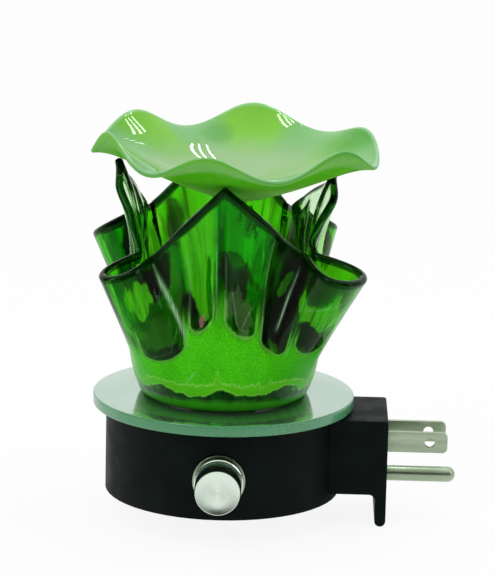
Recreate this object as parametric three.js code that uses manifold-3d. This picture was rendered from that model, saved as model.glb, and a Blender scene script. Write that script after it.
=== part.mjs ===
// Plug-in electric oil warmer: a black drum with a wall plug on a short arm, a round mirror on top,
// a folded glass shade round a halogen capsule, and a ruffled glass dish that rests on the shade's peaks.
// Millimetres, +Z up. The parts are laid out about the drum's axis, with the drum's underside at zero
// height, and the whole group is then moved so that the origin lies on the wall face between the blades.

import * as THREE from 'three';
import { mergeVertices } from 'three/addons/utils/BufferGeometryUtils.js';
import Module from 'manifold-3d';

const wasm = await Module();
wasm.setup();

// Clearances
const SEAT_GAP = 0.3;
const STACK_GAP = 0.15;
const RUNNING_GAP = 0.08;
const THREAD_GAP = 0.15;
const CUT_REACH = 1;

// Facets
const ROUND_SIDES = 56;
const MEDIUM_SIDES = 32;
const SMALL_SIDES = 16;
const PIN_SIDES = 12;
const ARC_STEPS = 4;
const CURVE_STEPS = 6;
const LEAD_SIDES = 8;
const LEAD_STEPS = 16;
const WELD_DISTANCE = 1e-4;

// Drum
const DRUM_RADIUS = 36;
const DRUM_HEIGHT = 25.8;
const DRUM_WALL = 2.2;
const DECK_THICKNESS = 2.2;
const COVER_THICKNESS = 2;
const DECK_UNDERSIDE = DRUM_HEIGHT - DECK_THICKNESS;
const DRUM_BORE = DRUM_RADIUS - DRUM_WALL;

// Three-prong plug
const BLADE_SPACING = 12.7;
const BLADE_WIDTH = 6.35;
const BLADE_THICKNESS = 1.5;
const BLADE_LENGTH = 18.4;
const BLADE_CORNER = 1.6;
const BLADE_HOLE_RADIUS = 1.6;
const BLADE_HOLE_REACH = 13;
const BLADE_TAIL = 16;
const BLADE_HEIGHT = 17.5;
const PIN_DROP = 11.9;
const PIN_RADIUS = 2.38;
const PIN_LENGTH = 21.4;
const PIN_TAIL_RADIUS = 0.9;
const PIN_HEIGHT = BLADE_HEIGHT - PIN_DROP;
const PLUG_BLOCK_LENGTH = 8.5;

// Plug arm and wall plate
const ARM_WIDTH = 28.6;
const ARM_LENGTH = 14.5;
const ARM_WALL = 2.2;
const ARM_FLOOR = 1.4;
const PIN_FLOOR_GAP = 0.7;
const PLATE_THICKNESS = 3.4;
const PLATE_DROP = 10;
const PLATE_FILLET = 2;
const PLATE_CORNER = 0.8;
const ARM_UNDERSIDE = PIN_HEIGHT - PIN_TAIL_RADIUS - PIN_FLOOR_GAP - ARM_FLOOR;
const WALL_FACE_X = DRUM_RADIUS + ARM_LENGTH;
const PLATE_INNER_X = WALL_FACE_X - PLATE_THICKNESS;

// Fasteners
const COVER_SCREW_COUNT = 3;
const COVER_SCREW_INSET = 4.8;
const COVER_SCREW_TURN = -40;
const COVER_BOSS_RADIUS = 3.5;
const SCREW_RADIUS = 1.4;
const SCREW_HEAD_RADIUS = 2.7;
const SCREW_HEAD_HEIGHT = 1.2;
const SCREW_SLOT_LENGTH = 4;
const SCREW_SLOT_WIDTH = 0.7;
const COVER_SCREW_LENGTH = 9;
const HOLDER_SCREW_LENGTH = 6;
const COVER_SCREW_CIRCLE = DRUM_BORE - COVER_SCREW_INSET;

// Mirror and its pad
const PAD_THICKNESS = 0.7;
const PAD_INNER_RADIUS = 18;
const PAD_INSET = 4;
const MIRROR_OVERHANG = 4;
const MIRROR_THICKNESS = 3.4;
const MIRROR_EDGE = 0.4;
const MIRROR_HOLE_RADIUS = 11.5;
const PAD_OUTER_RADIUS = DRUM_RADIUS - PAD_INSET;
const MIRROR_RADIUS = DRUM_RADIUS + MIRROR_OVERHANG;
const PAD_UNDERSIDE = DRUM_HEIGHT + STACK_GAP;
const MIRROR_UNDERSIDE = PAD_UNDERSIDE + PAD_THICKNESS + STACK_GAP;
const MIRROR_TOP = MIRROR_UNDERSIDE + MIRROR_THICKNESS;

// Lamp holder and halogen capsule
const HOLDER_RADIUS = 9.5;
const HOLDER_RISE = 6;
const HOLDER_DEPTH = 27;
const HOLDER_BEVEL = 1;
const HOLDER_CLEARANCE = 1;
const EAR_SPAN = 35;
const EAR_WIDTH = 7;
const EAR_THICKNESS = 2;
const EAR_SCREW_SPACING = 28;
const EAR_BOSS_RADIUS = 3;
const EAR_BOSS_LENGTH = 5;
const LAMP_PIN_SPACING = 5.3;
const LAMP_PIN_RADIUS = 0.65;
const LAMP_PIN_LENGTH = 9;
const LAMP_PIN_GRIP = 2.5;
const PINCH_WIDTH = 9;
const PINCH_THICKNESS = 3.6;
const PINCH_HEIGHT = 8;
const CAPSULE_RADIUS = 6.3;
const CAPSULE_HEIGHT = 30;
const HOLDER_TOP = MIRROR_TOP + HOLDER_RISE;
const HOLDER_BOTTOM = HOLDER_TOP - HOLDER_DEPTH;
const EAR_TOP = DECK_UNDERSIDE - EAR_BOSS_LENGTH - STACK_GAP;
const EAR_BOTTOM = EAR_TOP - EAR_THICKNESS;
const CAPSULE_BASE = HOLDER_TOP + SEAT_GAP;

// Rotary dimmer and its knob, on an axis along -Y
const DIMMER_HEIGHT = 12.1;
const DIMMER_BODY_WIDTH = 16;
const DIMMER_BODY_DEPTH = 9;
const BUSHING_RADIUS = 3.5;
const DIMMER_PAD_WIDTH = 22;
const DIMMER_PAD_DEPTH = 4.6;
const SPOT_FACE_DEPTH = 0.8;
const SPOT_FACE_RADIUS = 8.6;
const WASHER_RADIUS = 7.9;
const WASHER_THICKNESS = 0.6;
const NUT_ACROSS_FLATS = 11;
const NUT_THICKNESS = 1.2;
const NUT_TURN = 55;
const SHAFT_RADIUS = 3;
const SHAFT_SOCKET = 5;
const KNOB_LENGTH = 10.8;
const KNOB_RADIUS = 6.65;
const KNOB_FLANGE_RADIUS = 7.35;
const KNOB_FLANGE_THICKNESS = 1.1;
const KNOB_BEVEL = 0.5;
const KNOB_FACE_THICKNESS = 2;
const KNURL_TEETH = 40;
const KNURL_DEPTH = 0.35;
const DIMMER_PAD_FACE = DRUM_RADIUS - DIMMER_PAD_DEPTH;
const DIMMER_FRONT = DIMMER_PAD_FACE - STACK_GAP;
const SPOT_FACE = DRUM_RADIUS - SPOT_FACE_DEPTH;
const WASHER_BACK = SPOT_FACE + STACK_GAP;
const NUT_BACK = WASHER_BACK + WASHER_THICKNESS + STACK_GAP;
const KNOB_BACK = NUT_BACK + NUT_THICKNESS + SEAT_GAP;
const KNOB_FRONT = KNOB_BACK + KNOB_LENGTH;

// Dimmer circuit board
const BOARD_WIDTH = 27;
const BOARD_HEIGHT = 17.5;
const BOARD_THICKNESS = 1.6;
const BOARD_UNDERSIDE = 3.5;
const CAPACITOR_SIZE = [9, 5.4, 8.5];
const CAPACITOR_PLACE = [4, 12.4];
const TRIAC_SIZE = [9.5, 4.4, 8];
const TRIAC_PLACE = [-8, 12.6];
const CHOKE_RADIUS = 3.9;
const CHOKE_HOLE_RADIUS = 1.6;
const CHOKE_THICKNESS = 5;
const CHOKE_PLACE = [-5.5, 4];
const BOARD_BACK = DIMMER_FRONT - DIMMER_BODY_DEPTH - STACK_GAP;
const BOARD_FACE = BOARD_BACK - BOARD_THICKNESS;

// Leads inside the base
const LEAD_RADIUS = 1;
const LEAD_FLOOR_GAP = 1.6;
const LEAD_BOSS_GAP = 1;
const TERMINAL_INSET = 2.1;
const LIVE_TERMINAL_RISE = 10.7;
const LAMP_TERMINAL_RISE = 2.7;

// Ruffled dish
const DISH_RADIUS = 41.7;
const DISH_DEPTH = 16.6;
const DISH_WALL = 2.6;
const DISH_RIM_WALL = 1.7;
const DISH_BOWL_POWER = 1.3;
const DISH_RUFFLE_POWER = 8;
const DISH_LEAN = 1.65;
const DISH_LEAN_TOWARDS = -65;
const DISH_OFFSET = 3.8;
const DISH_CLEARANCE = 59.3;
const DISH_RINGS = 8;
const DISH_RING_SPREAD = 0.8;
const DISH_SIDES = 60;
// One lobe is drawn out further than the rest, by a share of the dish's radius
const LOBE_AZIMUTH = 169;
const LOBE_SPREAD = 22;
const LOBE_REACH = 0.106;
const RIM_WAVES = [
  { count: 2, share: 0.0125, crest: 91 },
  { count: 3, share: 0.0125, crest: -43 },
  { count: 4, share: 0.012, crest: 36 },
  { count: 5, share: 0.0084, crest: 23 },
  { count: 6, share: 0.077, crest: 21.2 },
  { count: 7, share: 0.0235, crest: -5.7 },
];
const SHADE_BASE = MIRROR_TOP + SEAT_GAP;
const DISH_BOTTOM = SHADE_BASE + DISH_CLEARANCE;

// Folded glass shade: a square sheet with four upright corners and four outward pleats between them
const SHADE_WALL = 2.5;
const SHADE_HOLE_RADIUS = 14;
const SHADE_FOOT_RADIUS = 24.4;
const SHADE_FLARE = 29;
const SHADE_FLARE_LENGTH = 14;
const PLEAT_START = 0.55;
const FLUTE_COUNT = 3;
const FLUTE_DEPTH = 1.1;
const PANEL_WAIST = 3.9;
const WAIST_RISE = 3;
const PANEL_FADE = 4;
const PANEL_STEPS = 7;
const PLEAT_STEPS = 5;
const WALL_LEVELS = 8;
const WALL_LEVEL_SPREAD = 1.2;
// Reaches are in foot radii from the axis, and rises are shares of the dish's clearance above the foot. A
// pleat's neck and bulge are half widths, and its draw is how far the edges beside it swing in, in foot radii.
const PEAKS = [
  { side: 'right', azimuth: 0, reach: 1.345 },
  { side: 'back', azimuth: 90, reach: 1.352 },
  { side: 'left', azimuth: 180, reach: 1.4 },
  { side: 'front', azimuth: 270, reach: 1.3 },
];
const PLEATS = [
  {
    azimuth: 45, tipReach: 1.828, tipRise: 0.784, rootReach: 1.09, rootRise: 0.934,
    neck: 0.07, bulge: 0.15, draw: 0.04,
  },
  {
    azimuth: 146, tipReach: 2.025, tipRise: 0.732, rootReach: 1.23, rootRise: 0.922,
    neck: 0.07, bulge: 0.15, draw: 0.04,
  },
  {
    azimuth: 220.5, tipReach: 1.89, tipRise: 0.704, rootReach: 1.277, rootRise: 0.788,
    neck: 0.125, bulge: 0.1, draw: 0.044,
  },
  {
    azimuth: 319.6, tipReach: 2.117, tipRise: 0.727, rootReach: 1.385, rootRise: 0.818,
    neck: 0.07, bulge: 0.25, draw: 0.132,
  },
];

const radians = THREE.MathUtils.degToRad;

// Finishes
function finish(color, roughness, metalness = 0) {
  return new THREE.MeshStandardMaterial({ color, roughness, metalness });
}

function glassFinish(color, opacity) {
  return new THREE.MeshStandardMaterial({ color, roughness: 0.05, transparent: true, opacity });
}

const FINISHES = {
  blackPlastic: () => finish(0x16191a, 0.6),
  nickel: () => finish(0xb9bdb4, 0.3, 1),
  steel: () => finish(0x9a9da0, 0.35, 1),
  aluminium: () => finish(0xcfd6d0, 0.3, 1),
  mirror: () => finish(0xc9e2d8, 0.05, 0.6),
  foam: () => finish(0x2a2c2c, 0.95),
  ceramic: () => finish(0xefece2, 0.4),
  clearGlass: () => glassFinish(0xf2f6f4, 0.3),
  greenGlass: () => glassFinish(0x1f9a12, 0.7),
  opalGlass: () => glassFinish(0xa9d59a, 0.9),
  board: () => finish(0x2f6b3a, 0.5),
  component: () => finish(0x232323, 0.5),
  filmCapacitor: () => finish(0x8c2a1e, 0.45),
  ferrite: () => finish(0x6b4a2a, 0.6),
  liveLead: () => finish(0x1c1c1c, 0.5),
  neutralLead: () => finish(0xe6e6e0, 0.5),
  lampLead: () => finish(0x8a1f1a, 0.5),
  groundLead: () => finish(0x2f7a35, 0.5),
};

function part(name, geometry, material) {
  const mesh = new THREE.Mesh(geometry, material);
  mesh.name = name;
  return mesh;
}

// Solids that are joined and cut
function solid(geometry) {
  const bare = geometry.clone();
  bare.deleteAttribute('normal');
  bare.deleteAttribute('uv');
  const welded = mergeVertices(bare, WELD_DISTANCE);
  const vertProperties = new Float32Array(welded.attributes.position.array);
  const triVerts = new Uint32Array(welded.index.array);
  return new wasm.Manifold(new wasm.Mesh({ numProp: 3, vertProperties, triVerts }));
}

function surface(body) {
  const mesh = body.getMesh();
  const geometry = new THREE.BufferGeometry();
  geometry.setAttribute('position', new THREE.BufferAttribute(mesh.vertProperties, 3));
  geometry.setIndex(new THREE.BufferAttribute(mesh.triVerts, 1));
  return geometry;
}

function join(...bodies) {
  return bodies.reduce((whole, body) => whole.add(body));
}

function cut(body, ...tools) {
  return tools.reduce((rest, tool) => rest.subtract(tool), body);
}

// A box between two corners
function block(low, high) {
  const size = high.map((value, axis) => value - low[axis]);
  const middle = high.map((value, axis) => (value + low[axis]) / 2);
  return new THREE.BoxGeometry(...size).translate(...middle);
}

// A round bar along +Z from one height to another, centred on a point of the plan
function bar(radius, bottom, top, x = 0, y = 0, sides = SMALL_SIDES) {
  const geometry = new THREE.CylinderGeometry(radius, radius, top - bottom, sides);
  return geometry.rotateX(Math.PI / 2).translate(x, y, (top + bottom) / 2);
}

// A round bar along -Y, between two distances in front of the drum's axis, at the dimmer's height
function frontBar(radius, near, far, sides = SMALL_SIDES) {
  const geometry = new THREE.CylinderGeometry(radius, radius, far - near, sides);
  return geometry.translate(0, -(near + far) / 2, DIMMER_HEIGHT);
}

// A body of revolution about +Z from its profile of radius and height
function turned(profile, sides = ROUND_SIDES) {
  const points = profile.map(([radius, height]) => new THREE.Vector2(radius, height));
  return new THREE.LatheGeometry(points, sides).rotateX(Math.PI / 2);
}

function ring(inner, outer, bottom, top, sides = ROUND_SIDES) {
  return turned([[inner, bottom], [outer, bottom], [outer, top], [inner, top], [inner, bottom]], sides);
}

function polar(radius, azimuth, height = 0) {
  const turn = radians(azimuth);
  return new THREE.Vector3(radius * Math.cos(turn), radius * Math.sin(turn), height);
}

// Places that several parts share
function coverScrewPlaces() {
  const step = 360 / COVER_SCREW_COUNT;
  const places = [];
  for (let index = 0; index < COVER_SCREW_COUNT; index += 1) {
    places.push(polar(COVER_SCREW_CIRCLE, COVER_SCREW_TURN + index * step));
  }
  return places;
}

function earScrewPlaces() {
  return [-1, 1].map((side) => new THREE.Vector3((side * EAR_SCREW_SPACING) / 2, 0, 0));
}

function lampPinPlaces() {
  return [-1, 1].map((side) => new THREE.Vector3((side * LAMP_PIN_SPACING) / 2, 0, 0));
}

// The passages of the three prongs, grown by a clearance, between two distances along X
function prongPassages(from, to, pinRadius, clearance) {
  const halfWidth = BLADE_WIDTH / 2 + clearance;
  const halfThickness = BLADE_THICKNESS / 2 + clearance;
  const slots = [-1, 1].map((side) => {
    const middle = (side * BLADE_SPACING) / 2;
    const low = [from, middle - halfThickness, BLADE_HEIGHT - halfWidth];
    const high = [to, middle + halfThickness, BLADE_HEIGHT + halfWidth];
    return solid(block(low, high));
  });
  const bore = pinRadius + clearance;
  const round = new THREE.CylinderGeometry(bore, bore, to - from, SMALL_SIDES);
  round.rotateZ(Math.PI / 2).translate((from + to) / 2, 0, PIN_HEIGHT);
  return [...slots, solid(round)];
}

// The arm's side outline: underside, fillet to the plate, rounded lower edge, face, eased top corner
function armOutline() {
  const edge = PLATE_THICKNESS / 2;
  const plateBottom = ARM_UNDERSIDE - PLATE_DROP;
  const filletX = PLATE_INNER_X - PLATE_FILLET;
  const cornerX = WALL_FACE_X - PLATE_CORNER;
  const cornerZ = DRUM_HEIGHT - PLATE_CORNER;
  const shape = new THREE.Shape();
  shape.moveTo(0, ARM_UNDERSIDE);
  shape.lineTo(filletX, ARM_UNDERSIDE);
  shape.absarc(filletX, ARM_UNDERSIDE - PLATE_FILLET, PLATE_FILLET, Math.PI / 2, 0, true);
  shape.lineTo(PLATE_INNER_X, plateBottom + edge);
  shape.absarc(PLATE_INNER_X + edge, plateBottom + edge, edge, Math.PI, 2 * Math.PI, false);
  shape.lineTo(WALL_FACE_X, cornerZ);
  shape.absarc(cornerX, cornerZ, PLATE_CORNER, 0, Math.PI / 2, false);
  shape.lineTo(0, DRUM_HEIGHT);
  return shape;
}

// Black moulded base: drum, deck, plug arm and wall plate in one piece, open underneath
function baseHousing() {
  const drum = solid(bar(DRUM_RADIUS, 0, DRUM_HEIGHT, 0, 0, ROUND_SIDES));
  const armShape = new THREE.ExtrudeGeometry(armOutline(), {
    depth: ARM_WIDTH,
    bevelEnabled: false,
    curveSegments: CURVE_STEPS,
  });
  const arm = solid(armShape.rotateX(Math.PI / 2).translate(0, ARM_WIDTH / 2, 0));
  const drumHollow = solid(bar(DRUM_BORE, -CUT_REACH, DECK_UNDERSIDE, 0, 0, ROUND_SIDES));
  const halfArm = ARM_WIDTH / 2 - ARM_WALL;
  const armHollow = solid(block(
    [0, -halfArm, ARM_UNDERSIDE + ARM_FLOOR],
    [PLATE_INNER_X, halfArm, DECK_UNDERSIDE],
  ));
  const shell = cut(join(drum, arm), drumHollow, armHollow);

  const bossBottom = COVER_THICKNESS + STACK_GAP;
  const bossTop = DRUM_HEIGHT - DECK_THICKNESS / 2;
  const coverBosses = coverScrewPlaces().map(({ x, y }) => (
    solid(bar(COVER_BOSS_RADIUS, bossBottom, bossTop, x, y))
  ));
  const earBosses = earScrewPlaces().map(({ x, y }) => (
    solid(bar(EAR_BOSS_RADIUS, DECK_UNDERSIDE - EAR_BOSS_LENGTH, bossTop, x, y))
  ));
  const padHalf = DIMMER_PAD_WIDTH / 2;
  const padBlock = solid(block(
    [-padHalf, -DRUM_RADIUS, bossBottom],
    [padHalf, -DIMMER_PAD_FACE, bossTop],
  ));
  const dimmerPad = padBlock.intersect(drum);

  const pilotTop = SCREW_HEAD_HEIGHT + COVER_SCREW_LENGTH + CUT_REACH;
  const coverPilots = coverScrewPlaces().map(({ x, y }) => (
    solid(bar(SCREW_RADIUS + THREAD_GAP, 0, pilotTop, x, y))
  ));
  const earPilots = earScrewPlaces().map(({ x, y }) => (
    solid(bar(SCREW_RADIUS + THREAD_GAP, 0, DECK_UNDERSIDE, x, y))
  ));
  const holeRadius = HOLDER_RADIUS + HOLDER_CLEARANCE;
  const lampHole = solid(bar(holeRadius, 0, DRUM_HEIGHT + CUT_REACH, 0, 0, ROUND_SIDES));
  const bushingHole = solid(frontBar(BUSHING_RADIUS + SEAT_GAP, 0, DRUM_RADIUS + CUT_REACH));
  const spotFace = solid(frontBar(SPOT_FACE_RADIUS, SPOT_FACE, DRUM_RADIUS + CUT_REACH, ROUND_SIDES));

  return cut(
    join(shell, dimmerPad, ...coverBosses, ...earBosses),
    lampHole,
    bushingHole,
    spotFace,
    ...coverPilots,
    ...earPilots,
    ...prongPassages(PLATE_INNER_X, WALL_FACE_X + CUT_REACH, PIN_RADIUS, SEAT_GAP),
  );
}

function bottomCover() {
  const plate = solid(bar(DRUM_BORE - SEAT_GAP, 0, COVER_THICKNESS, 0, 0, ROUND_SIDES));
  const holes = coverScrewPlaces().flatMap(({ x, y }) => [
    solid(bar(SCREW_RADIUS + THREAD_GAP, -CUT_REACH, COVER_THICKNESS + CUT_REACH, x, y)),
    solid(bar(SCREW_HEAD_RADIUS + SEAT_GAP, -CUT_REACH, SCREW_HEAD_HEIGHT + STACK_GAP, x, y)),
  ]);
  return cut(plate, ...holes);
}

// A cross-slotted screw that points up, with its head below the given height and its shank above it
function screw(place, headTop, length) {
  const headBottom = headTop - SCREW_HEAD_HEIGHT;
  const head = solid(bar(SCREW_HEAD_RADIUS, headBottom, headTop, place.x, place.y));
  const shank = solid(bar(SCREW_RADIUS, headTop - CUT_REACH / 2, headTop + length, place.x, place.y));
  const slotTop = headTop - SCREW_HEAD_HEIGHT / 2;
  const reach = SCREW_SLOT_LENGTH / 2;
  const half = SCREW_SLOT_WIDTH / 2;
  const slots = [[reach, half], [half, reach]].map(([halfX, halfY]) => solid(block(
    [place.x - halfX, place.y - halfY, headBottom - CUT_REACH],
    [place.x + halfX, place.y + halfY, slotTop],
  )));
  return cut(join(head, shank), ...slots);
}

// Soft adhesive ring that holds the mirror on the drum's deck
function mirrorPad() {
  const top = PAD_UNDERSIDE + PAD_THICKNESS;
  return ring(PAD_INNER_RADIUS, PAD_OUTER_RADIUS, PAD_UNDERSIDE, top, MEDIUM_SIDES);
}

// Round mirror with eased edges and a hole for the lamp
function mirrorDisc() {
  const low = MIRROR_UNDERSIDE;
  const high = MIRROR_TOP;
  return turned([
    [MIRROR_HOLE_RADIUS, low],
    [MIRROR_RADIUS - MIRROR_EDGE, low],
    [MIRROR_RADIUS, low + MIRROR_EDGE],
    [MIRROR_RADIUS, high - MIRROR_EDGE],
    [MIRROR_RADIUS - MIRROR_EDGE, high],
    [MIRROR_HOLE_RADIUS, high],
    [MIRROR_HOLE_RADIUS, low],
  ]);
}

// Ceramic lamp holder: a round body with two fixing ears and two contact holes in its top
function lampHolder() {
  const body = solid(turned([
    [0, HOLDER_BOTTOM],
    [HOLDER_RADIUS - HOLDER_BEVEL, HOLDER_BOTTOM],
    [HOLDER_RADIUS, HOLDER_BOTTOM + HOLDER_BEVEL],
    [HOLDER_RADIUS, HOLDER_TOP - HOLDER_BEVEL],
    [HOLDER_RADIUS - HOLDER_BEVEL, HOLDER_TOP],
    [0, HOLDER_TOP],
  ], SMALL_SIDES));
  const ears = solid(block(
    [-EAR_SPAN / 2, -EAR_WIDTH / 2, EAR_BOTTOM],
    [EAR_SPAN / 2, EAR_WIDTH / 2, EAR_TOP],
  ));
  const screwHoles = earScrewPlaces().map(({ x, y }) => (
    solid(bar(SCREW_RADIUS + THREAD_GAP, EAR_BOTTOM - CUT_REACH, EAR_TOP + CUT_REACH, x, y))
  ));
  const contactDepth = LAMP_PIN_LENGTH - LAMP_PIN_GRIP + SEAT_GAP;
  const contactHoles = lampPinPlaces().map(({ x, y }) => (
    solid(bar(LAMP_PIN_RADIUS + THREAD_GAP, HOLDER_TOP - contactDepth, HOLDER_TOP + CUT_REACH, x, y))
  ));
  return cut(join(body, ears), ...screwHoles, ...contactHoles);
}

// Halogen capsule: a flat pinched seal under a round envelope with a domed end
function capsuleGlass() {
  const envelopeBase = CAPSULE_BASE + PINCH_HEIGHT;
  const domeBase = envelopeBase + CAPSULE_HEIGHT - CAPSULE_RADIUS;
  const pinch = solid(block(
    [-PINCH_WIDTH / 2, -PINCH_THICKNESS / 2, CAPSULE_BASE],
    [PINCH_WIDTH / 2, PINCH_THICKNESS / 2, envelopeBase + PINCH_THICKNESS / 2],
  ));
  const profile = new THREE.Path();
  profile.moveTo(0, envelopeBase);
  profile.lineTo(PINCH_THICKNESS / 2, envelopeBase);
  profile.quadraticCurveTo(CAPSULE_RADIUS, envelopeBase, CAPSULE_RADIUS, envelopeBase + CAPSULE_RADIUS);
  profile.lineTo(CAPSULE_RADIUS, domeBase);
  profile.absarc(0, domeBase, CAPSULE_RADIUS, 0, Math.PI / 2, false);
  const outline = profile.getPoints(ARC_STEPS).map(({ x, y }) => [Math.max(x, 0), y]);
  outline[outline.length - 1][0] = 0;
  const envelope = solid(turned(outline, SMALL_SIDES));
  const pinHoles = lampPinPlaces().map(({ x, y }) => (
    solid(bar(LAMP_PIN_RADIUS + THREAD_GAP, CAPSULE_BASE - CUT_REACH, CAPSULE_BASE + LAMP_PIN_GRIP, x, y))
  ));
  return cut(join(pinch, envelope), ...pinHoles);
}

function lampPin(place) {
  const top = CAPSULE_BASE + LAMP_PIN_GRIP - STACK_GAP;
  return bar(LAMP_PIN_RADIUS, top - LAMP_PIN_LENGTH, top, place.x, place.y, PIN_SIDES);
}

// Rotary dimmer: a square can with a threaded bushing that passes through the drum wall
function dimmerBody() {
  const half = DIMMER_BODY_WIDTH / 2;
  const can = solid(block(
    [-half, -DIMMER_FRONT, DIMMER_HEIGHT - half],
    [half, -(DIMMER_FRONT - DIMMER_BODY_DEPTH), DIMMER_HEIGHT + half],
  ));
  const bushing = solid(frontBar(BUSHING_RADIUS, DIMMER_FRONT - CUT_REACH, KNOB_BACK - SEAT_GAP));
  const bore = solid(frontBar(SHAFT_RADIUS + RUNNING_GAP, DIMMER_FRONT - SHAFT_SOCKET, KNOB_FRONT));
  return cut(join(can, bushing), bore);
}

function dimmerWasher() {
  const plate = solid(frontBar(WASHER_RADIUS, WASHER_BACK, WASHER_BACK + WASHER_THICKNESS, MEDIUM_SIDES));
  return cut(plate, solid(frontBar(BUSHING_RADIUS + THREAD_GAP, SPOT_FACE, KNOB_FRONT)));
}

function dimmerNut() {
  const cornerRadius = NUT_ACROSS_FLATS / 2 / Math.cos(Math.PI / 6);
  const hexagon = new THREE.CylinderGeometry(cornerRadius, cornerRadius, NUT_THICKNESS, 6);
  hexagon.rotateY(radians(NUT_TURN - 90)).translate(0, -(NUT_BACK + NUT_THICKNESS / 2), DIMMER_HEIGHT);
  return cut(solid(hexagon), solid(frontBar(BUSHING_RADIUS + THREAD_GAP, SPOT_FACE, KNOB_FRONT)));
}

function dimmerShaft() {
  const back = DIMMER_FRONT - SHAFT_SOCKET + SEAT_GAP;
  return frontBar(SHAFT_RADIUS, back, KNOB_FRONT - KNOB_FACE_THICKNESS - SEAT_GAP);
}

// Straight-knurled knob with a polished flange at its back and a bevelled face
function dimmerKnob() {
  const knurl = new THREE.Shape();
  for (let tooth = 0; tooth < KNURL_TEETH; tooth += 1) {
    const crest = (2 * Math.PI * tooth) / KNURL_TEETH;
    const root = crest + Math.PI / KNURL_TEETH;
    const inner = KNOB_RADIUS - KNURL_DEPTH;
    knurl.lineTo(KNOB_RADIUS * Math.cos(crest), KNOB_RADIUS * Math.sin(crest));
    knurl.lineTo(inner * Math.cos(root), inner * Math.sin(root));
  }
  const grip = new THREE.ExtrudeGeometry(knurl, { depth: KNOB_LENGTH, bevelEnabled: false });
  const envelope = turned([
    [0, 0],
    [KNOB_FLANGE_RADIUS, 0],
    [KNOB_FLANGE_RADIUS, KNOB_LENGTH - KNOB_FLANGE_RADIUS + KNOB_RADIUS - KNOB_BEVEL],
    [KNOB_RADIUS - KNOB_BEVEL, KNOB_LENGTH],
    [0, KNOB_LENGTH],
  ], MEDIUM_SIDES);
  const flange = bar(KNOB_FLANGE_RADIUS, 0, KNOB_FLANGE_THICKNESS, 0, 0, MEDIUM_SIDES);
  const bore = bar(SHAFT_RADIUS + THREAD_GAP, -CUT_REACH, KNOB_LENGTH - KNOB_FACE_THICKNESS);
  const knob = cut(join(solid(grip).intersect(solid(envelope)), solid(flange)), solid(bore));
  return surface(knob).rotateX(Math.PI / 2).translate(0, -KNOB_BACK, DIMMER_HEIGHT);
}

function circuitBoard() {
  return block(
    [-BOARD_WIDTH / 2, -BOARD_BACK, BOARD_UNDERSIDE],
    [BOARD_WIDTH / 2, -BOARD_FACE, BOARD_UNDERSIDE + BOARD_HEIGHT],
  );
}

// A component on the inner face of the board, at a place across it and above its lower edge
function boardBlock(size, [x, rise]) {
  const z = BOARD_UNDERSIDE + rise;
  const back = -BOARD_FACE + STACK_GAP;
  const [width, depth, height] = size;
  return block([x - width / 2, back, z - height / 2], [x + width / 2, back + depth, z + height / 2]);
}

function choke() {
  const [x, rise] = CHOKE_PLACE;
  const coil = ring(CHOKE_HOLE_RADIUS, CHOKE_RADIUS, 0, CHOKE_THICKNESS, SMALL_SIDES);
  return coil.rotateX(-Math.PI / 2).translate(x, -BOARD_FACE + STACK_GAP, BOARD_UNDERSIDE + rise);
}

// Insulating block behind the wall plate that grips the prongs
function plugBlock() {
  const front = PLATE_INNER_X - SEAT_GAP;
  const back = front - PLUG_BLOCK_LENGTH;
  const half = ARM_WIDTH / 2 - ARM_WALL - SEAT_GAP;
  const body = solid(block(
    [back, -half, ARM_UNDERSIDE + ARM_FLOOR + SEAT_GAP],
    [front, half, DECK_UNDERSIDE - SEAT_GAP],
  ));
  return cut(body, ...prongPassages(back - CUT_REACH, front + CUT_REACH, PIN_TAIL_RADIUS, THREAD_GAP));
}

// A flat blade with eased tip corners and a hole near its tip, standing on edge
function plugBlade(side) {
  const tip = WALL_FACE_X + BLADE_LENGTH;
  const tail = WALL_FACE_X - BLADE_TAIL;
  const low = BLADE_HEIGHT - BLADE_WIDTH / 2;
  const high = BLADE_HEIGHT + BLADE_WIDTH / 2;
  const shape = new THREE.Shape();
  shape.moveTo(tail, low);
  shape.lineTo(tip - BLADE_CORNER, low);
  shape.absarc(tip - BLADE_CORNER, low + BLADE_CORNER, BLADE_CORNER, -Math.PI / 2, 0, false);
  shape.absarc(tip - BLADE_CORNER, high - BLADE_CORNER, BLADE_CORNER, 0, Math.PI / 2, false);
  shape.lineTo(tail, high);
  const hole = new THREE.Path();
  hole.absarc(WALL_FACE_X + BLADE_HOLE_REACH, BLADE_HEIGHT, BLADE_HOLE_RADIUS, 0, 2 * Math.PI, true);
  shape.holes.push(hole);
  const strip = new THREE.ExtrudeGeometry(shape, {
    depth: BLADE_THICKNESS,
    bevelEnabled: false,
    curveSegments: CURVE_STEPS,
  });
  return strip.rotateX(Math.PI / 2).translate(0, (side * BLADE_SPACING + BLADE_THICKNESS) / 2, 0);
}

// Round ground pin with a domed tip and a thinner tail behind the wall plate
function groundPin() {
  const tail = WALL_FACE_X - BLADE_TAIL;
  const length = BLADE_TAIL + PIN_LENGTH;
  const shoulder = BLADE_TAIL - PLATE_THICKNESS;
  const profile = new THREE.Path();
  profile.moveTo(0, 0);
  profile.lineTo(PIN_TAIL_RADIUS, 0);
  profile.lineTo(PIN_TAIL_RADIUS, shoulder);
  profile.lineTo(PIN_RADIUS, shoulder);
  profile.absarc(0, length - PIN_RADIUS, PIN_RADIUS, 0, Math.PI / 2, false);
  const outline = profile.getPoints(ARC_STEPS).map(({ x, y }) => [Math.max(x, 0), y]);
  outline[outline.length - 1][0] = 0;
  return turned(outline, SMALL_SIDES).rotateY(Math.PI / 2).translate(tail, 0, PIN_HEIGHT);
}

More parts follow.
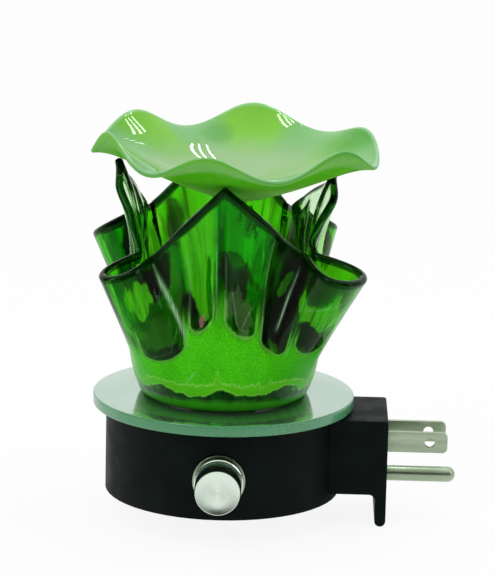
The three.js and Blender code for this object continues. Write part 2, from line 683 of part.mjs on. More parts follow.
// An insulated lead along a smooth route
function lead(points) {
  const route = new THREE.CatmullRomCurve3(points.map((point) => new THREE.Vector3(...point)));
  const section = new THREE.Shape();
  for (let side = 0; side < LEAD_SIDES; side += 1) {
    const turn = (2 * Math.PI * side) / LEAD_SIDES;
    section.lineTo(LEAD_RADIUS * Math.cos(turn), LEAD_RADIUS * Math.sin(turn));
  }
  return new THREE.ExtrudeGeometry(section, { steps: LEAD_STEPS, extrudePath: route });
}

// Where the leads end: on the prong tails, the board's inner face, the holder's underside and the
// dimmer's can. Each end runs straight for one lead diameter before it bends.
const LEAD_STRAIGHT = 2 * LEAD_RADIUS;
const TAIL_END = WALL_FACE_X - BLADE_TAIL - SEAT_GAP;
const BOARD_END = -BOARD_FACE + SEAT_GAP;
const HOLDER_END = HOLDER_BOTTOM - SEAT_GAP;
const CAN_END = DIMMER_BODY_WIDTH / 2 + SEAT_GAP;
const CAN_MIDDLE = -(DIMMER_FRONT - DIMMER_BODY_DEPTH / 2);
const TERMINAL_X = BOARD_WIDTH / 2 - TERMINAL_INSET;
const LIVE_TERMINAL = BOARD_UNDERSIDE + LIVE_TERMINAL_RISE;
const LAMP_TERMINAL = BOARD_UNDERSIDE + LAMP_TERMINAL_RISE;
const BLADE_Y = BLADE_SPACING / 2;
const CONTACT_X = LAMP_PIN_SPACING / 2;
const BEND_HEIGHT = HOLDER_END - LEAD_STRAIGHT;
const BOSS_SIDE = polar(COVER_SCREW_CIRCLE, COVER_SCREW_TURN).x - COVER_BOSS_RADIUS;
const BESIDE_BOARD = (BOARD_WIDTH / 2 + BOSS_SIDE) / 2;
const PAST_BOSS = polar(
  COVER_SCREW_CIRCLE - COVER_BOSS_RADIUS - LEAD_RADIUS - LEAD_BOSS_GAP,
  COVER_SCREW_TURN,
  COVER_THICKNESS + LEAD_RADIUS + LEAD_FLOOR_GAP,
);
const LEAD_ROUTES = {
  live: [
    [TAIL_END, -BLADE_Y, BLADE_HEIGHT],
    [TAIL_END - LEAD_STRAIGHT, -BLADE_Y, BLADE_HEIGHT],
    [TERMINAL_X, BOARD_END + LEAD_STRAIGHT, LIVE_TERMINAL],
    [TERMINAL_X, BOARD_END, LIVE_TERMINAL],
  ],
  lamp: [
    [TERMINAL_X, BOARD_END, LAMP_TERMINAL],
    [TERMINAL_X, BOARD_END + LEAD_STRAIGHT, LAMP_TERMINAL],
    [CONTACT_X, 0, BEND_HEIGHT],
    [CONTACT_X, 0, HOLDER_END],
  ],
  neutral: [
    [TAIL_END, BLADE_Y, BLADE_HEIGHT],
    [TAIL_END - LEAD_STRAIGHT, BLADE_Y, BLADE_HEIGHT],
    [HOLDER_RADIUS, BLADE_Y, BEND_HEIGHT - LEAD_RADIUS],
    [-CONTACT_X, 0, BEND_HEIGHT],
    [-CONTACT_X, 0, HOLDER_END],
  ],
  ground: [
    [TAIL_END, 0, PIN_HEIGHT],
    [TAIL_END - LEAD_STRAIGHT, 0, PIN_HEIGHT],
    PAST_BOSS.toArray(),
    [BESIDE_BOARD, -BOARD_BACK, DIMMER_HEIGHT],
    [CAN_END + LEAD_STRAIGHT, CAN_MIDDLE, DIMMER_HEIGHT],
    [CAN_END, CAN_MIDDLE, DIMMER_HEIGHT],
  ],
};

// Radius of the dish's rim at an azimuth about its own axis
function rimRadius(azimuth) {
  const turn = THREE.MathUtils.euclideanModulo(azimuth - LOBE_AZIMUTH + 180, 360) - 180;
  return DISH_RADIUS * (1 + LOBE_REACH * Math.exp(-((turn / LOBE_SPREAD) ** 2)));
}

// Height of the dish's underside above its lowest point, at a radius and azimuth about its own axis
function dishUnderside(radius, azimuth) {
  const share = radius / rimRadius(azimuth);
  const ruffle = RIM_WAVES.reduce((sum, wave) => (
    sum + DISH_RADIUS * wave.share * Math.cos(wave.count * radians(azimuth - wave.crest))
  ), 0);
  const lean = Math.tan(radians(DISH_LEAN)) * radius * Math.cos(radians(azimuth - DISH_LEAN_TOWARDS));
  return DISH_DEPTH * share ** DISH_BOWL_POWER + ruffle * share ** DISH_RUFFLE_POWER - lean;
}

// Closed body over a grid of rows, each of them a loop of points. The two end rows are closed by a point
// each, or joined to each other where no end points are given.
function loftedBody(rows, firstPoint, lastPoint) {
  const count = rows[0].length;
  const positions = rows.flat().flatMap(({ x, y, z }) => [x, y, z]);
  const indices = [];
  const quad = (lower, upper, index) => {
    const next = (index + 1) % count;
    const [a, b] = [lower * count + index, lower * count + next];
    const [c, d] = [upper * count + index, upper * count + next];
    indices.push(a, b, d, a, d, c);
  };
  for (let row = 0; row < rows.length - 1; row += 1) {
    for (let index = 0; index < count; index += 1) {
      quad(row, row + 1, index);
    }
  }
  const last = rows.length - 1;
  if (firstPoint && lastPoint) {
    const firstIndex = positions.length / 3;
    positions.push(firstPoint.x, firstPoint.y, firstPoint.z, lastPoint.x, lastPoint.y, lastPoint.z);
    for (let index = 0; index < count; index += 1) {
      const next = (index + 1) % count;
      indices.push(firstIndex, next, index);
      indices.push(firstIndex + 1, last * count + index, last * count + next);
    }
  } else {
    for (let index = 0; index < count; index += 1) {
      quad(last, 0, index);
    }
  }
  const geometry = new THREE.BufferGeometry();
  geometry.setAttribute('position', new THREE.Float32BufferAttribute(positions, 3));
  geometry.setIndex(indices);
  return geometry;
}

// Ruffled oil dish: underside rows from the middle out to the rim, then the inner rows back to the middle
function oilDish() {
  const slopeStep = 0.1;
  const rimRound = DISH_RIM_WALL / 3;
  const azimuths = Array.from({ length: DISH_SIDES }, (_, index) => (index * 360) / DISH_SIDES);
  const surfacePoint = (radius, azimuth, inside) => {
    const under = dishUnderside(radius, azimuth);
    const slope = (dishUnderside(radius + slopeStep, azimuth) - under) / slopeStep;
    const wall = THREE.MathUtils.lerp(DISH_WALL, DISH_RIM_WALL, (radius / rimRadius(azimuth)) ** 2);
    const rise = inside ? wall * Math.hypot(1, slope) : 0;
    return polar(radius, azimuth, DISH_BOTTOM + under + rise).add(new THREE.Vector3(DISH_OFFSET, 0, 0));
  };
  const row = (share, inside) => azimuths.map((azimuth) => (
    surfacePoint((rimRadius(azimuth) - rimRound) * share, azimuth, inside)
  ));
  const shares = Array.from({ length: DISH_RINGS }, (_, index) => (
    ((index + 1) / DISH_RINGS) ** DISH_RING_SPREAD
  ));
  const outer = shares.map((share) => row(share, false));
  const inner = shares.map((share) => row(share, true)).reverse();
  const edge = azimuths.map((azimuth) => {
    const radius = rimRadius(azimuth);
    return surfacePoint(radius, azimuth, false).lerp(surfacePoint(radius, azimuth, true), 0.5);
  });
  const rows = [...outer, edge, ...inner];
  return loftedBody(rows, surfacePoint(0, 0, false), surfacePoint(0, 0, true));
}

// Height of a peak's tip: its inner edge touches the dish's underside, less the seat gap
function peakHeight({ azimuth, reach }) {
  const inner = polar(reach * SHADE_FOOT_RADIUS - SHADE_WALL / 2, azimuth);
  const x = inner.x - DISH_OFFSET;
  const turn = THREE.MathUtils.radToDeg(Math.atan2(inner.y, x));
  return DISH_BOTTOM + dishUnderside(Math.hypot(x, inner.y), turn) - SEAT_GAP;
}

// One stretch of the sheet's edge from a peak down to the root of a pleat and out to the pleat's tip.
// Each station has its rim point, the azimuth where its wall line leaves the foot, and its panel share.
function edgeStretch(peak, pleat, side) {
  const span = pleat.azimuth - peak.azimuth;
  const top = peakHeight(peak);
  const peakRadius = peak.reach * SHADE_FOOT_RADIUS;
  const rootRadius = pleat.rootReach * SHADE_FOOT_RADIUS;
  const tipRadius = pleat.tipReach * SHADE_FOOT_RADIUS;
  const rootHeight = SHADE_BASE + pleat.rootRise * DISH_CLEARANCE;
  const tipHeight = SHADE_BASE + pleat.tipRise * DISH_CLEARANCE;
  const neckAngle = THREE.MathUtils.radToDeg(pleat.neck / pleat.rootReach);
  const rootSpan = span - side * neckAngle;
  const stations = [];
  for (let step = 0; step < PANEL_STEPS; step += 1) {
    const share = step / PANEL_STEPS;
    const swing = pleat.draw * SHADE_FOOT_RADIUS * Math.sin(Math.PI * share ** WAIST_RISE);
    const radius = THREE.MathUtils.lerp(peakRadius, rootRadius, share) - swing;
    const height = THREE.MathUtils.lerp(top, rootHeight, share);
    stations.push({
      rim: polar(radius, peak.azimuth + rootSpan * share, height),
      footAzimuth: peak.azimuth + span * PLEAT_START * share,
      panelShare: side * share,
    });
  }
  const out = polar(1, pleat.azimuth);
  const across = polar(1, pleat.azimuth - side * 90);
  for (let step = 0; step <= PLEAT_STEPS; step += 1) {
    const share = step / PLEAT_STEPS;
    const turn = (share * Math.PI) / 2;
    const reach = THREE.MathUtils.lerp(rootRadius, tipRadius, Math.sin(turn));
    const halfWidth = pleat.neck * Math.cos(turn) + pleat.bulge * Math.sin(2 * turn);
    const rim = out.clone().multiplyScalar(reach);
    rim.addScaledVector(across, halfWidth * SHADE_FOOT_RADIUS);
    rim.z = THREE.MathUtils.lerp(rootHeight, tipHeight, Math.sin(turn));
    stations.push({
      rim,
      footAzimuth: peak.azimuth + span * (PLEAT_START + (1 - PLEAT_START) * share),
      panelShare: side,
    });
  }
  return stations;
}

// All stations round the sheet's edge, each peak and each pleat tip once
function sheetEdge() {
  const stations = [];
  PEAKS.forEach((peak, index) => {
    const pleat = PLEATS[index];
    const nextPeak = PEAKS[(index + 1) % PEAKS.length];
    const turn = index + 1 === PEAKS.length ? 360 : 0;
    const down = edgeStretch(peak, pleat, 1);
    const up = edgeStretch({ ...nextPeak, azimuth: nextPeak.azimuth + turn }, pleat, -1).reverse();
    stations.push(...down, ...up.slice(1, -1));
  });
  return stations;
}

// A point of the sheet's middle surface: a curve that leaves the foot along its flare and ends on the
// rim. Each panel is drawn in at its waist and has upright flutes, and both fade towards its edges.
function sheetPoint({ rim, footAzimuth, panelShare }, level) {
  const footHeight = SHADE_BASE + SHADE_WALL / 2;
  const flareRadius = SHADE_FOOT_RADIUS + SHADE_FLARE_LENGTH * Math.sin(radians(SHADE_FLARE));
  const flareHeight = footHeight + SHADE_FLARE_LENGTH * Math.cos(radians(SHADE_FLARE));
  const foot = polar(SHADE_FOOT_RADIUS, footAzimuth, footHeight);
  const flare = polar(flareRadius, footAzimuth, flareHeight);
  const point = new THREE.QuadraticBezierCurve3(foot, flare, rim).getPoint(level);
  const fade = 1 - Math.abs(panelShare) ** PANEL_FADE;
  const wave = Math.cos(Math.PI * FLUTE_COUNT * panelShare);
  const flute = FLUTE_DEPTH * wave * Math.sin(Math.PI * level) ** 2;
  const waist = PANEL_WAIST * Math.sin(Math.PI * level ** WAIST_RISE);
  const scale = 1 + (fade * (flute - waist)) / Math.hypot(point.x, point.y);
  return point.multiply(new THREE.Vector3(scale, scale, 1));
}

// Folded glass shade: the sheet's middle surface moved half a wall each way, closed at the rim and,
// through a flat bottom with a lamp hole, at the foot
function glassShade() {
  const stations = sheetEdge();
  const count = stations.length;
  const levels = Array.from({ length: WALL_LEVELS + 1 }, (_, index) => (
    (index / WALL_LEVELS) ** WALL_LEVEL_SPREAD
  ));
  const middle = levels.map((level) => stations.map((station) => sheetPoint(station, level)));
  const normalAt = (row, index) => {
    const along = new THREE.Vector3().subVectors(
      middle[row][(index + 1) % count],
      middle[row][(index + count - 1) % count],
    );
    const up = new THREE.Vector3().subVectors(
      middle[Math.min(row + 1, WALL_LEVELS)][index],
      middle[Math.max(row - 1, 0)][index],
    );
    return along.cross(up).normalize();
  };
  const offsetRow = (row, distance) => middle[row].map((point, index) => (
    point.clone().addScaledVector(normalAt(row, index), distance)
  ));
  const flatRow = (radius, height) => stations.map(({ footAzimuth }) => (
    polar(radius, footAzimuth, height)
  ));
  const rows = levels.map((_, row) => row).slice(1);
  const outer = rows.map((row) => offsetRow(row, SHADE_WALL / 2));
  const inner = rows.map((row) => offsetRow(row, -SHADE_WALL / 2)).reverse();
  const footInset = SHADE_FOOT_RADIUS - SHADE_WALL / 2;
  return loftedBody([
    flatRow(SHADE_HOLE_RADIUS, SHADE_BASE),
    flatRow(SHADE_FOOT_RADIUS, SHADE_BASE),
    flatRow(SHADE_FOOT_RADIUS + SHADE_WALL / 3, SHADE_BASE + SHADE_WALL / 3),
    ...outer,
    ...inner,
    flatRow(footInset, SHADE_BASE + SHADE_WALL),
    flatRow(SHADE_HOLE_RADIUS, SHADE_BASE + SHADE_WALL),
  ]);
}

// The assembly
const warmer = new THREE.Group();
const coverScrews = coverScrewPlaces().map((place, index) => part(
  `cover_screw_${index + 1}`,
  surface(screw(place, SCREW_HEAD_HEIGHT, COVER_SCREW_LENGTH)),
  FINISHES.steel(),
));
const holderScrews = earScrewPlaces().map((place, index) => part(
  `holder_screw_${index + 1}`,
  surface(screw(place, EAR_BOTTOM - STACK_GAP, HOLDER_SCREW_LENGTH)),
  FINISHES.steel(),
));
const lampPins = lampPinPlaces().map((place, index) => part(
  `lamp_pin_${index + 1}`,
  lampPin(place),
  FINISHES.nickel(),
));

warmer.add(
  part('base_housing', surface(baseHousing()), FINISHES.blackPlastic()),
  part('bottom_cover', surface(bottomCover()), FINISHES.blackPlastic()),
  ...coverScrews,
  part('mirror_pad', mirrorPad(), FINISHES.foam()),
  part('mirror_disc', mirrorDisc(), FINISHES.mirror()),
  part('lamp_holder', surface(lampHolder()), FINISHES.ceramic()),
  ...holderScrews,
  part('lamp_capsule', surface(capsuleGlass()), FINISHES.clearGlass()),
  ...lampPins,
  part('dimmer_body', surface(dimmerBody()), FINISHES.steel()),
  part('dimmer_washer', surface(dimmerWasher()), FINISHES.nickel()),
  part('dimmer_nut', surface(dimmerNut()), FINISHES.nickel()),
  part('dimmer_shaft', dimmerShaft(), FINISHES.aluminium()),
  part('dimmer_knob', dimmerKnob(), FINISHES.aluminium()),
  part('dimmer_board', circuitBoard(), FINISHES.board()),
  part('triac', boardBlock(TRIAC_SIZE, TRIAC_PLACE), FINISHES.component()),
  part('capacitor', boardBlock(CAPACITOR_SIZE, CAPACITOR_PLACE), FINISHES.filmCapacitor()),
  part('choke', choke(), FINISHES.ferrite()),
  part('plug_block', surface(plugBlock()), FINISHES.blackPlastic()),
  part('live_blade', plugBlade(-1), FINISHES.nickel()),
  part('neutral_blade', plugBlade(1), FINISHES.nickel()),
  part('ground_pin', groundPin(), FINISHES.nickel()),
  part('live_lead', lead(LEAD_ROUTES.live), FINISHES.liveLead()),
  part('neutral_lead', lead(LEAD_ROUTES.neutral), FINISHES.neutralLead()),
  part('lamp_lead', lead(LEAD_ROUTES.lamp), FINISHES.lampLead()),
  part('ground_lead', lead(LEAD_ROUTES.ground), FINISHES.groundLead()),
  part('glass_shade', glassShade(), FINISHES.greenGlass()),
  part('oil_dish', oilDish(), FINISHES.opalGlass()),
);
warmer.position.set(-WALL_FACE_X, 0, -BLADE_HEIGHT);

export default warmer;
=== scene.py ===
"""Looks of the plug-in electric oil warmer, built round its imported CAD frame.

Lengths in the tables are millimetres about the drum's axis, with the drum's underside at zero height, as in the
part's source. ORIGIN moves them to the frame, whose zero lies on the wall face, and MM turns them to metres.
Materials and the studio are in metres and watts where nothing else is said.
"""

import math

import bmesh
import bpy
import numpy as np
from mathutils import Matrix, Quaternion, Vector


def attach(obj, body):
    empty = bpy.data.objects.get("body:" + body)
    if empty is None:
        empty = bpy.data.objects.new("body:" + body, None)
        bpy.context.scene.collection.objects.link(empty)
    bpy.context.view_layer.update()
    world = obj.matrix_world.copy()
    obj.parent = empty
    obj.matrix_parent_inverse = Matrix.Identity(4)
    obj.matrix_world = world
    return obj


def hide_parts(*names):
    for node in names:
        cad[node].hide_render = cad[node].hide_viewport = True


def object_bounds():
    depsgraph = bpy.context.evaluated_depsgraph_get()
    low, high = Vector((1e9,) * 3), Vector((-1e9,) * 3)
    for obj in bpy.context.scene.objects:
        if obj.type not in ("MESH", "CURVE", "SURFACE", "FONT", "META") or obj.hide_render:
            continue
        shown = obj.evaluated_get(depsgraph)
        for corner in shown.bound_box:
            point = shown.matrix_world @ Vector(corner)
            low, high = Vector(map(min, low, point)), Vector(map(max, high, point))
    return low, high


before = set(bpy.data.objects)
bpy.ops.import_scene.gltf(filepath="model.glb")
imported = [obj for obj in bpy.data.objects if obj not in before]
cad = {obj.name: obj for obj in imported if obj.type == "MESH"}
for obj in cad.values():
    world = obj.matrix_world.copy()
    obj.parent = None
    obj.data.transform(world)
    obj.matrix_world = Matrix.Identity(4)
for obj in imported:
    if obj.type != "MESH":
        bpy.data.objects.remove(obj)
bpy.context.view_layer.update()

MM = 0.001
ORIGIN = np.array([50.5, 0.0, 17.5])

# Steps round the half circle of a glass rim, and round the quarter circle of the mirror's edge
RIM_STEPS = 8
EASE_STEPS = 4

# Dish
DISH_RADIUS = 41.7
DISH_DEPTH = 16.6
DISH_WALL = 2.6
DISH_RIM_WALL = 1.7
DISH_BOWL_POWER = 1.3
DISH_RUFFLE_POWER = 8
DISH_LEAN = math.radians(1.65)
DISH_LEAN_TOWARDS = math.radians(-65)
DISH_OFFSET = 3.8
DISH_BOTTOM = 89.8
DISH_SIDES = 240
DISH_RINGS = 48
DISH_RING_SPREAD = 0.8
# Waves of the rim: count, share of the dish's radius, and azimuth of a crest in degrees
RIM_WAVES = (
    (2, 0.0125, 91), (3, 0.0125, -43), (4, 0.012, 36), (5, 0.0084, 23), (6, 0.077, 21.2), (7, 0.0235, -5.7),
)
LOBE_AZIMUTH = 169
LOBE_SPREAD = 22
LOBE_REACH = 0.106

# Folded shade
SHADE_BASE = 30.5
SHADE_WALL = 2.5
SHADE_HOLE_RADIUS = 14
SHADE_FOOT_RADIUS = 24.4
FOOT_DROP = 0.22
FOOT_EASE = 0.45
SHADE_FLARE = math.radians(29)
SHADE_FLARE_LENGTH = 14
SHADE_CLEARANCE = 59.3
SEAT_GAP = 0.3
PLEAT_START = 0.55
PANEL_WAIST = 3.9
WAIST_RISE = 3
PANEL_FADE = 4
PANEL_STEPS = 44
PLEAT_STEPS = 20
SHADE_LEVELS = 64
SHADE_LEVEL_SPREAD = 1.05
SHADE_RIM_ROUND = 0.8
# Azimuth in degrees and reach in foot radii
PEAKS = ((0, 1.345), (90, 1.352), (180, 1.4), (270, 1.3))
# Place round the shade, which the glass is coloured by: units a panel and all round
PANEL_FLOW = 4
FULL_FLOW = PANEL_FLOW * len(PEAKS)
# Azimuth, tip reach, tip rise, root reach, root rise, neck, bulge, and draw of the edges beside it
PLEATS = (
    (45, 1.828, 0.784, 1.09, 0.934, 0.07, 0.15, 0.04),
    (146, 2.025, 0.732, 1.23, 0.922, 0.07, 0.15, 0.04),
    (220.5, 1.89, 0.704, 1.277, 0.788, 0.125, 0.1, 0.044),
    (319.6, 2.117, 0.727, 1.385, 0.818, 0.07, 0.25, 0.132),
)
# Hollow flutes of each panel: centre and half width in panel shares, start level, depth, and tone, which is
# painted shade where it is above zero, and lime where it is below, partly glaze and partly painted light through
# the glass
FLUTES = (
    ((-0.52, 0.25, 0.46, 2.2, 0.8), (0.0, 0.26, 0.5, 2.4, 0.9), (0.5, 0.25, 0.44, 2.2, 0.8)),
    ((-0.46, 0.18, 0.78, 2.0, -0.3), (-0.06, 0.22, 0.6, 2.4, -0.4), (0.4, 0.2, 0.74, 2.2, -0.4)),
    ((-0.46, 0.26, 0.48, 2.2, 0.4), (0.04, 0.24, 0.44, 2.4, 0.6), (0.52, 0.25, 0.5, 2.2, 0.3)),
    (
        (-0.38, 0.27, 0.52, 2.8, -0.8), (0.31, 0.32, 0.49, 2.8, 0.1), (0.97, 0.33, 0.46, 2.2, 1.0),
        (-1.22, 0.56, 0.42, 0.0, 0.35), (1.72, 0.34, 0.52, 0.0, 0.7),
    ),
)
FLUTE_BOTTOM = 0.1
FLUTE_RAMP = 0.06
FLUTE_FADE = 0.7
FLUTE_FADE_POWER = 6
FLUTE_END = 1.15
FLUTE_END_RAMP = 0.25
STAIN_RAMP = 0.03
STAIN_BORDER = 3

# Mirror
MIRROR_LOW = 26.8
MIRROR_HIGH = 30.2
MIRROR_RADIUS = 40.0
MIRROR_HOLE_RADIUS = 11.5
MIRROR_EASE = 0.45
MIRROR_HOLE_EASE = 0.3
MIRROR_SIDES = 192
MIRROR_FLAT = 0.95

# Knob
KNOB_AXIS_HEIGHT = 12.1
KNOB_BACK = 37.6
KNOB_LENGTH = 10.8
KNOB_RADIUS = 6.9
KNOB_FLANGE_RADIUS = 7.35
KNOB_FLANGE = 1.1
KNOB_GROOVE = 0.45
KNOB_EASE = 0.25
KNOB_BORE_RADIUS = 3.15
KNOB_FACE_WALL = 2.0
KNOB_KNURL = 0.34
KNOB_TEETH = 60
KNOB_TOOTH_STEPS = 4
KNOB_TOOTH_TIP = 0.15
KNOB_TOOTH_FLANK = 0.7
# Depth of the hollow face, half way in and at its middle
KNOB_HOLLOWS = (0.15, 0.175)

# Carried-over CAD nodes
WELD_REACH = 0.02
BEVEL_ANGLE = math.radians(35)

# Camera, as fitted to the mirror, the drum and the plug in the photograph, in millimetres apart from its clip
CAMERA_DISTANCE = 900
CAMERA_LENS = 184.6
CAMERA_ELEVATION = math.radians(13.08)
CAMERA_AZIMUTH = math.radians(1.0)
CAMERA_ROLL = math.radians(1.308)
CAMERA_AIM = (6.452, 0.0, 62.87)
CAMERA_SENSOR = 36.0
CAMERA_CLIP = (0.05, 100.0)

# Soft lights: name, place, size and power. They aim at a place in millimetres
SOFT_LIGHTS = (
    ("front_left_soft", (-0.85, -0.95, 0.75), (0.6, 0.8), 5.5),
    ("right_soft", (1.0, -0.35, 0.5), (0.3, 0.9), 2.0),
)
SOFT_LIGHT_AIM = (0.0, 0.0, 60.0)
# Three small lamps over the dish, which shine back from its lobes: both ends in millimetres
TUBES = ((40, 27, 24, 104), (54, 34, 35, 109), (69, 45, 46, 112))
TUBE_HEIGHT = 268.0
TUBE_WIDTH = 6.0
TUBE_POWER = 0.022
# Three lamps farther off, which shine back from the bowl: the way to each from a place in millimetres
FAR_TUBES = ((0.2875, 0.9325, 1.0), (0.244, 0.87, 1.0), (0.194, 0.79, 1.0))
FAR_TUBE_AIM = (-9.0, 19.0, 101.0)
FAR_TUBE_SIZE = (0.045, 0.016)
FAR_TUBE_POWER = 0.036
FLOOR_REACH = 6.0
FLOOR_GAP = 0.0005


def to_frame(points):
    """Millimetres about the drum's axis as metres in the frame."""
    return (np.asarray(points, float) - ORIGIN) * MM


# Node materials
class Graph:
    """A material, or the world, with short calls for its nodes."""

    def __init__(self, tree):
        self.nodes, self.links = tree.nodes, tree.links
        self.nodes.clear()

    def add(self, kind, settings=None, **inputs):
        node = self.nodes.new("ShaderNode" + kind)
        for key, value in (settings or {}).items():
            setattr(node, key, value)
        for key, value in inputs.items():
            self.set(node, key, value)
        return node

    def set(self, node, key, value):
        """Links or sets an input, by its name with underscores for spaces, or by its number, such as i0."""
        numbered = key[0] == "i" and key[1:].isdigit()
        socket = node.inputs[int(key[1:]) if numbered else key.replace("_", " ")]
        if isinstance(value, bpy.types.NodeSocket):
            self.links.new(value, socket)
        elif socket.type == "RGBA":
            socket.default_value = (*value, 1.0)
        else:
            socket.default_value = value

    def math(self, operation, first, second=0.0):
        return self.add("Math", {"operation": operation}, i0=first, i1=second).outputs[0]

    def plus(self, first, second):
        return self.math("ADD", first, second)

    def minus(self, first, second):
        return self.math("SUBTRACT", first, second)

    def times(self, first, second):
        return self.math("MULTIPLY", first, second)

    def most(self, first, second):
        return self.math("MAXIMUM", first, second)

    def gap(self, first, second):
        return self.math("ABSOLUTE", self.minus(first, second))

    def ramp(self, value, low, high, to_low=0.0, to_high=1.0):
        """A smooth step of a value between two others."""
        settings = {"interpolation_type": "SMOOTHSTEP"}
        return self.add("MapRange", settings, i0=value, i1=low, i2=high, i3=to_low, i4=to_high).outputs[0]

    def fall(self, value, low, high):
        """A smooth step down from one to zero."""
        return self.ramp(value, low, high, 1.0, 0.0)

    def window(self, value, rise, fall):
        """A smooth step up and a later one down, each between two values."""
        return self.times(self.ramp(value, *rise), self.fall(value, *fall))

    def sway(self, noise, reach):
        """Noise as a sway about zero."""
        return self.times(self.minus(noise, 0.5), reach)

    def mix(self, share, first, second):
        """A mix of two colours."""
        return self.add("Mix", {"data_type": "RGBA"}, i0=share, i6=first, i7=second).outputs[2]

    def layered(self, colour, layers):
        """A colour under layers, each a share and its colour, from the lowest up."""
        for share, tint in layers:
            colour = self.mix(share, colour, tint)
        return colour

    def strongest(self, shares):
        """The largest of some values, each times its weight."""
        largest = 0.0
        for value, weight in shares:
            largest = self.most(largest, self.times(value, weight))
        return largest

    def noise(self, scale, detail, stretch=(1, 1, 1), shift=(0, 0, 0), roughness=0.5, place=None):
        """Noise in the piece's own coordinates, with the scale in waves a metre, or at another place."""
        place = place or self.add("TexCoord").outputs["Object"]
        turned = self.add("Mapping", i0=place, i1=shift, i3=stretch).outputs[0]
        node = self.add("TexNoise", Vector=turned, Scale=scale, Detail=detail, Roughness=roughness)
        return node.outputs["Fac"]

    def line(self, across, along, start, end, width):
        """A thin line between two places, as a share that is one at its middle."""
        (across_0, along_0), (across_1, along_1) = start, end
        lean = (across_1 - across_0) / (along_1 - along_0)
        middle = self.plus(self.times(along, lean), across_0 - lean * along_0)
        near = self.fall(self.gap(across, middle), 0.0, width)
        rise, fall = ((place - LINE_FADE, place + LINE_FADE) for place in sorted((along_0, along_1)))
        return self.times(near, self.window(along, rise, fall))

    def oval(self, across, along, middle, half):
        """Square of the distance from a middle, in half widths."""
        x, y = (
            self.math("DIVIDE", self.minus(value, centre), reach)
            for value, centre, reach in zip((across, along), middle, half)
        )
        return self.plus(self.times(x, x), self.times(y, y))

    def patches(self, across, along, places, ragged):
        """Oval patches with ragged borders, as a share that is one within them."""
        inside = 0.0
        for middle_across, middle_along, half_across, half_along, strength in places:
            away = self.oval(across, along, (middle_across, middle_along), (half_across, half_along))
            inside = self.most(inside, self.ramp(self.plus(away, ragged), *PATCH_BORDER, strength, 0.0))
        return inside

    def rises(self, across, places):
        """The sum of smooth rises at some places."""
        total = 0.0
        for middle, half, height in places:
            total = self.plus(total, self.ramp(self.gap(across, middle), 0.0, half, height, 0.0))
        return total

    def attribute(self, name):
        return self.add("Attribute", {"attribute_name": name}).outputs["Fac"]

    def bump(self, height, distance, strength):
        node = self.add("Bump", Strength=strength, Distance=distance, Height=height)
        return node.outputs["Normal"]


def new_material(name):
    made = bpy.data.materials.new(name)
    made.use_nodes = True
    graph = Graph(made.node_tree)
    return made, graph


def surface(graph, shader, volume=None):
    out = graph.add("OutputMaterial", Surface=shader.outputs[0])
    if volume:
        graph.set(out, "Volume", volume.outputs[0])


def plain(name, dark, light, rough, scale, grain=0.0, metallic=0.0, stretch=(1, 1, 1), **inputs):
    """A surface whose colour, roughness and fine relief vary with noise."""
    made, graph = new_material(name)
    cloud = graph.noise(scale, 4.0, stretch)
    colour = graph.mix(graph.ramp(cloud, 0.3, 0.7), dark, light)
    roughness = graph.ramp(graph.noise(scale * 2.3, 4.0, stretch, (0.3, 0.1, 0.2)), 0.3, 0.7, *rough)
    shader = graph.add("BsdfPrincipled", Base_Color=colour, Roughness=roughness, Metallic=metallic, **inputs)
    if grain:
        graph.set(shader, "Normal", graph.bump(graph.noise(scale * 9, 5.0, stretch), grain, 0.6))
    surface(graph, shader)
    return made


# Pale lines on the front of the glass, most of them painted highlights along its creases and ridges: place round
# the shade and level at both ends, width and strength
HIGHLIGHT_LINES = (
    ((11.3, 0.55), (11.1, 0.76), 0.075, 0.9),
    ((11.12, 0.74), (10.95, 0.98), 0.06, 0.9),
    ((11.9, 0.58), (11.88, 0.96), 0.025, 0.5),
    ((12.68, 0.54), (12.63, 0.98), 0.025, 0.5),
    ((12.98, 0.62), (13.02, 0.93), 0.035, 0.8),
    ((11.34, 0.5), (11.3, 0.62), 0.04, 0.35),
    ((11.25, 0.26), (11.45, 0.33), 0.06, 0.3),
    ((11.37, 0.56), (11.42, 0.9), 0.022, 0.4),
    ((12.04, 0.56), (12.02, 0.8), 0.022, 0.35),
    ((12.24, 0.54), (12.1, 0.69), 0.022, 0.45),
    ((12.38, 0.54), (12.54, 0.68), 0.022, 0.35),
    ((13.3, 0.5), (13.36, 0.7), 0.022, 0.4),
    ((13.46, 0.81), (13.95, 0.89), 0.06, 0.4),
    ((10.06, 0.6), (10.44, 0.475), 0.04, 0.35),
    ((10.44, 0.468), (11.0, 0.488), 0.25, 0.35),
    ((11.0, 0.49), (11.18, 0.62), 0.03, 0.35),
)
# Patches of the glass: place round the shade and level of the middle, half width of both, and strength
CLEAR_PATCHES = (
    (7.75, 0.9, 0.75, 0.24, 1.0), (0.2, 0.93, 0.55, 0.22, 1.0), (16.0, 0.93, 0.6, 0.2, 1.0),
    (2.1, 0.93, 0.2, 0.1, 0.8),
)
# Lime patches, partly glaze and partly painted light shining through the glass
LIME_PATCHES = (
    (10.58, 0.84, 0.28, 0.1, 0.85), (13.62, 0.84, 0.38, 0.12, 0.75), (14.75, 0.94, 0.4, 0.1, 0.6),
    (12.93, 0.5, 0.1, 0.05, 0.45), (12.97, 0.88, 0.05, 0.06, 0.35), (10.32, 0.63, 0.22, 0.05, 0.3),
)
# Where the lime is taken away again, so that the painted shade shows
HOLLOW_PATCHES = (
    (13.52, 0.93, 0.24, 0.1, 1.0), (10.95, 0.9, 0.2, 0.12, 1.0), (11.4, 0.62, 0.1, 0.13, 1.0),
    (11.66, 0.545, 0.26, 0.03, 1.0), (11.85, 0.66, 0.06, 0.16, 0.8),
)
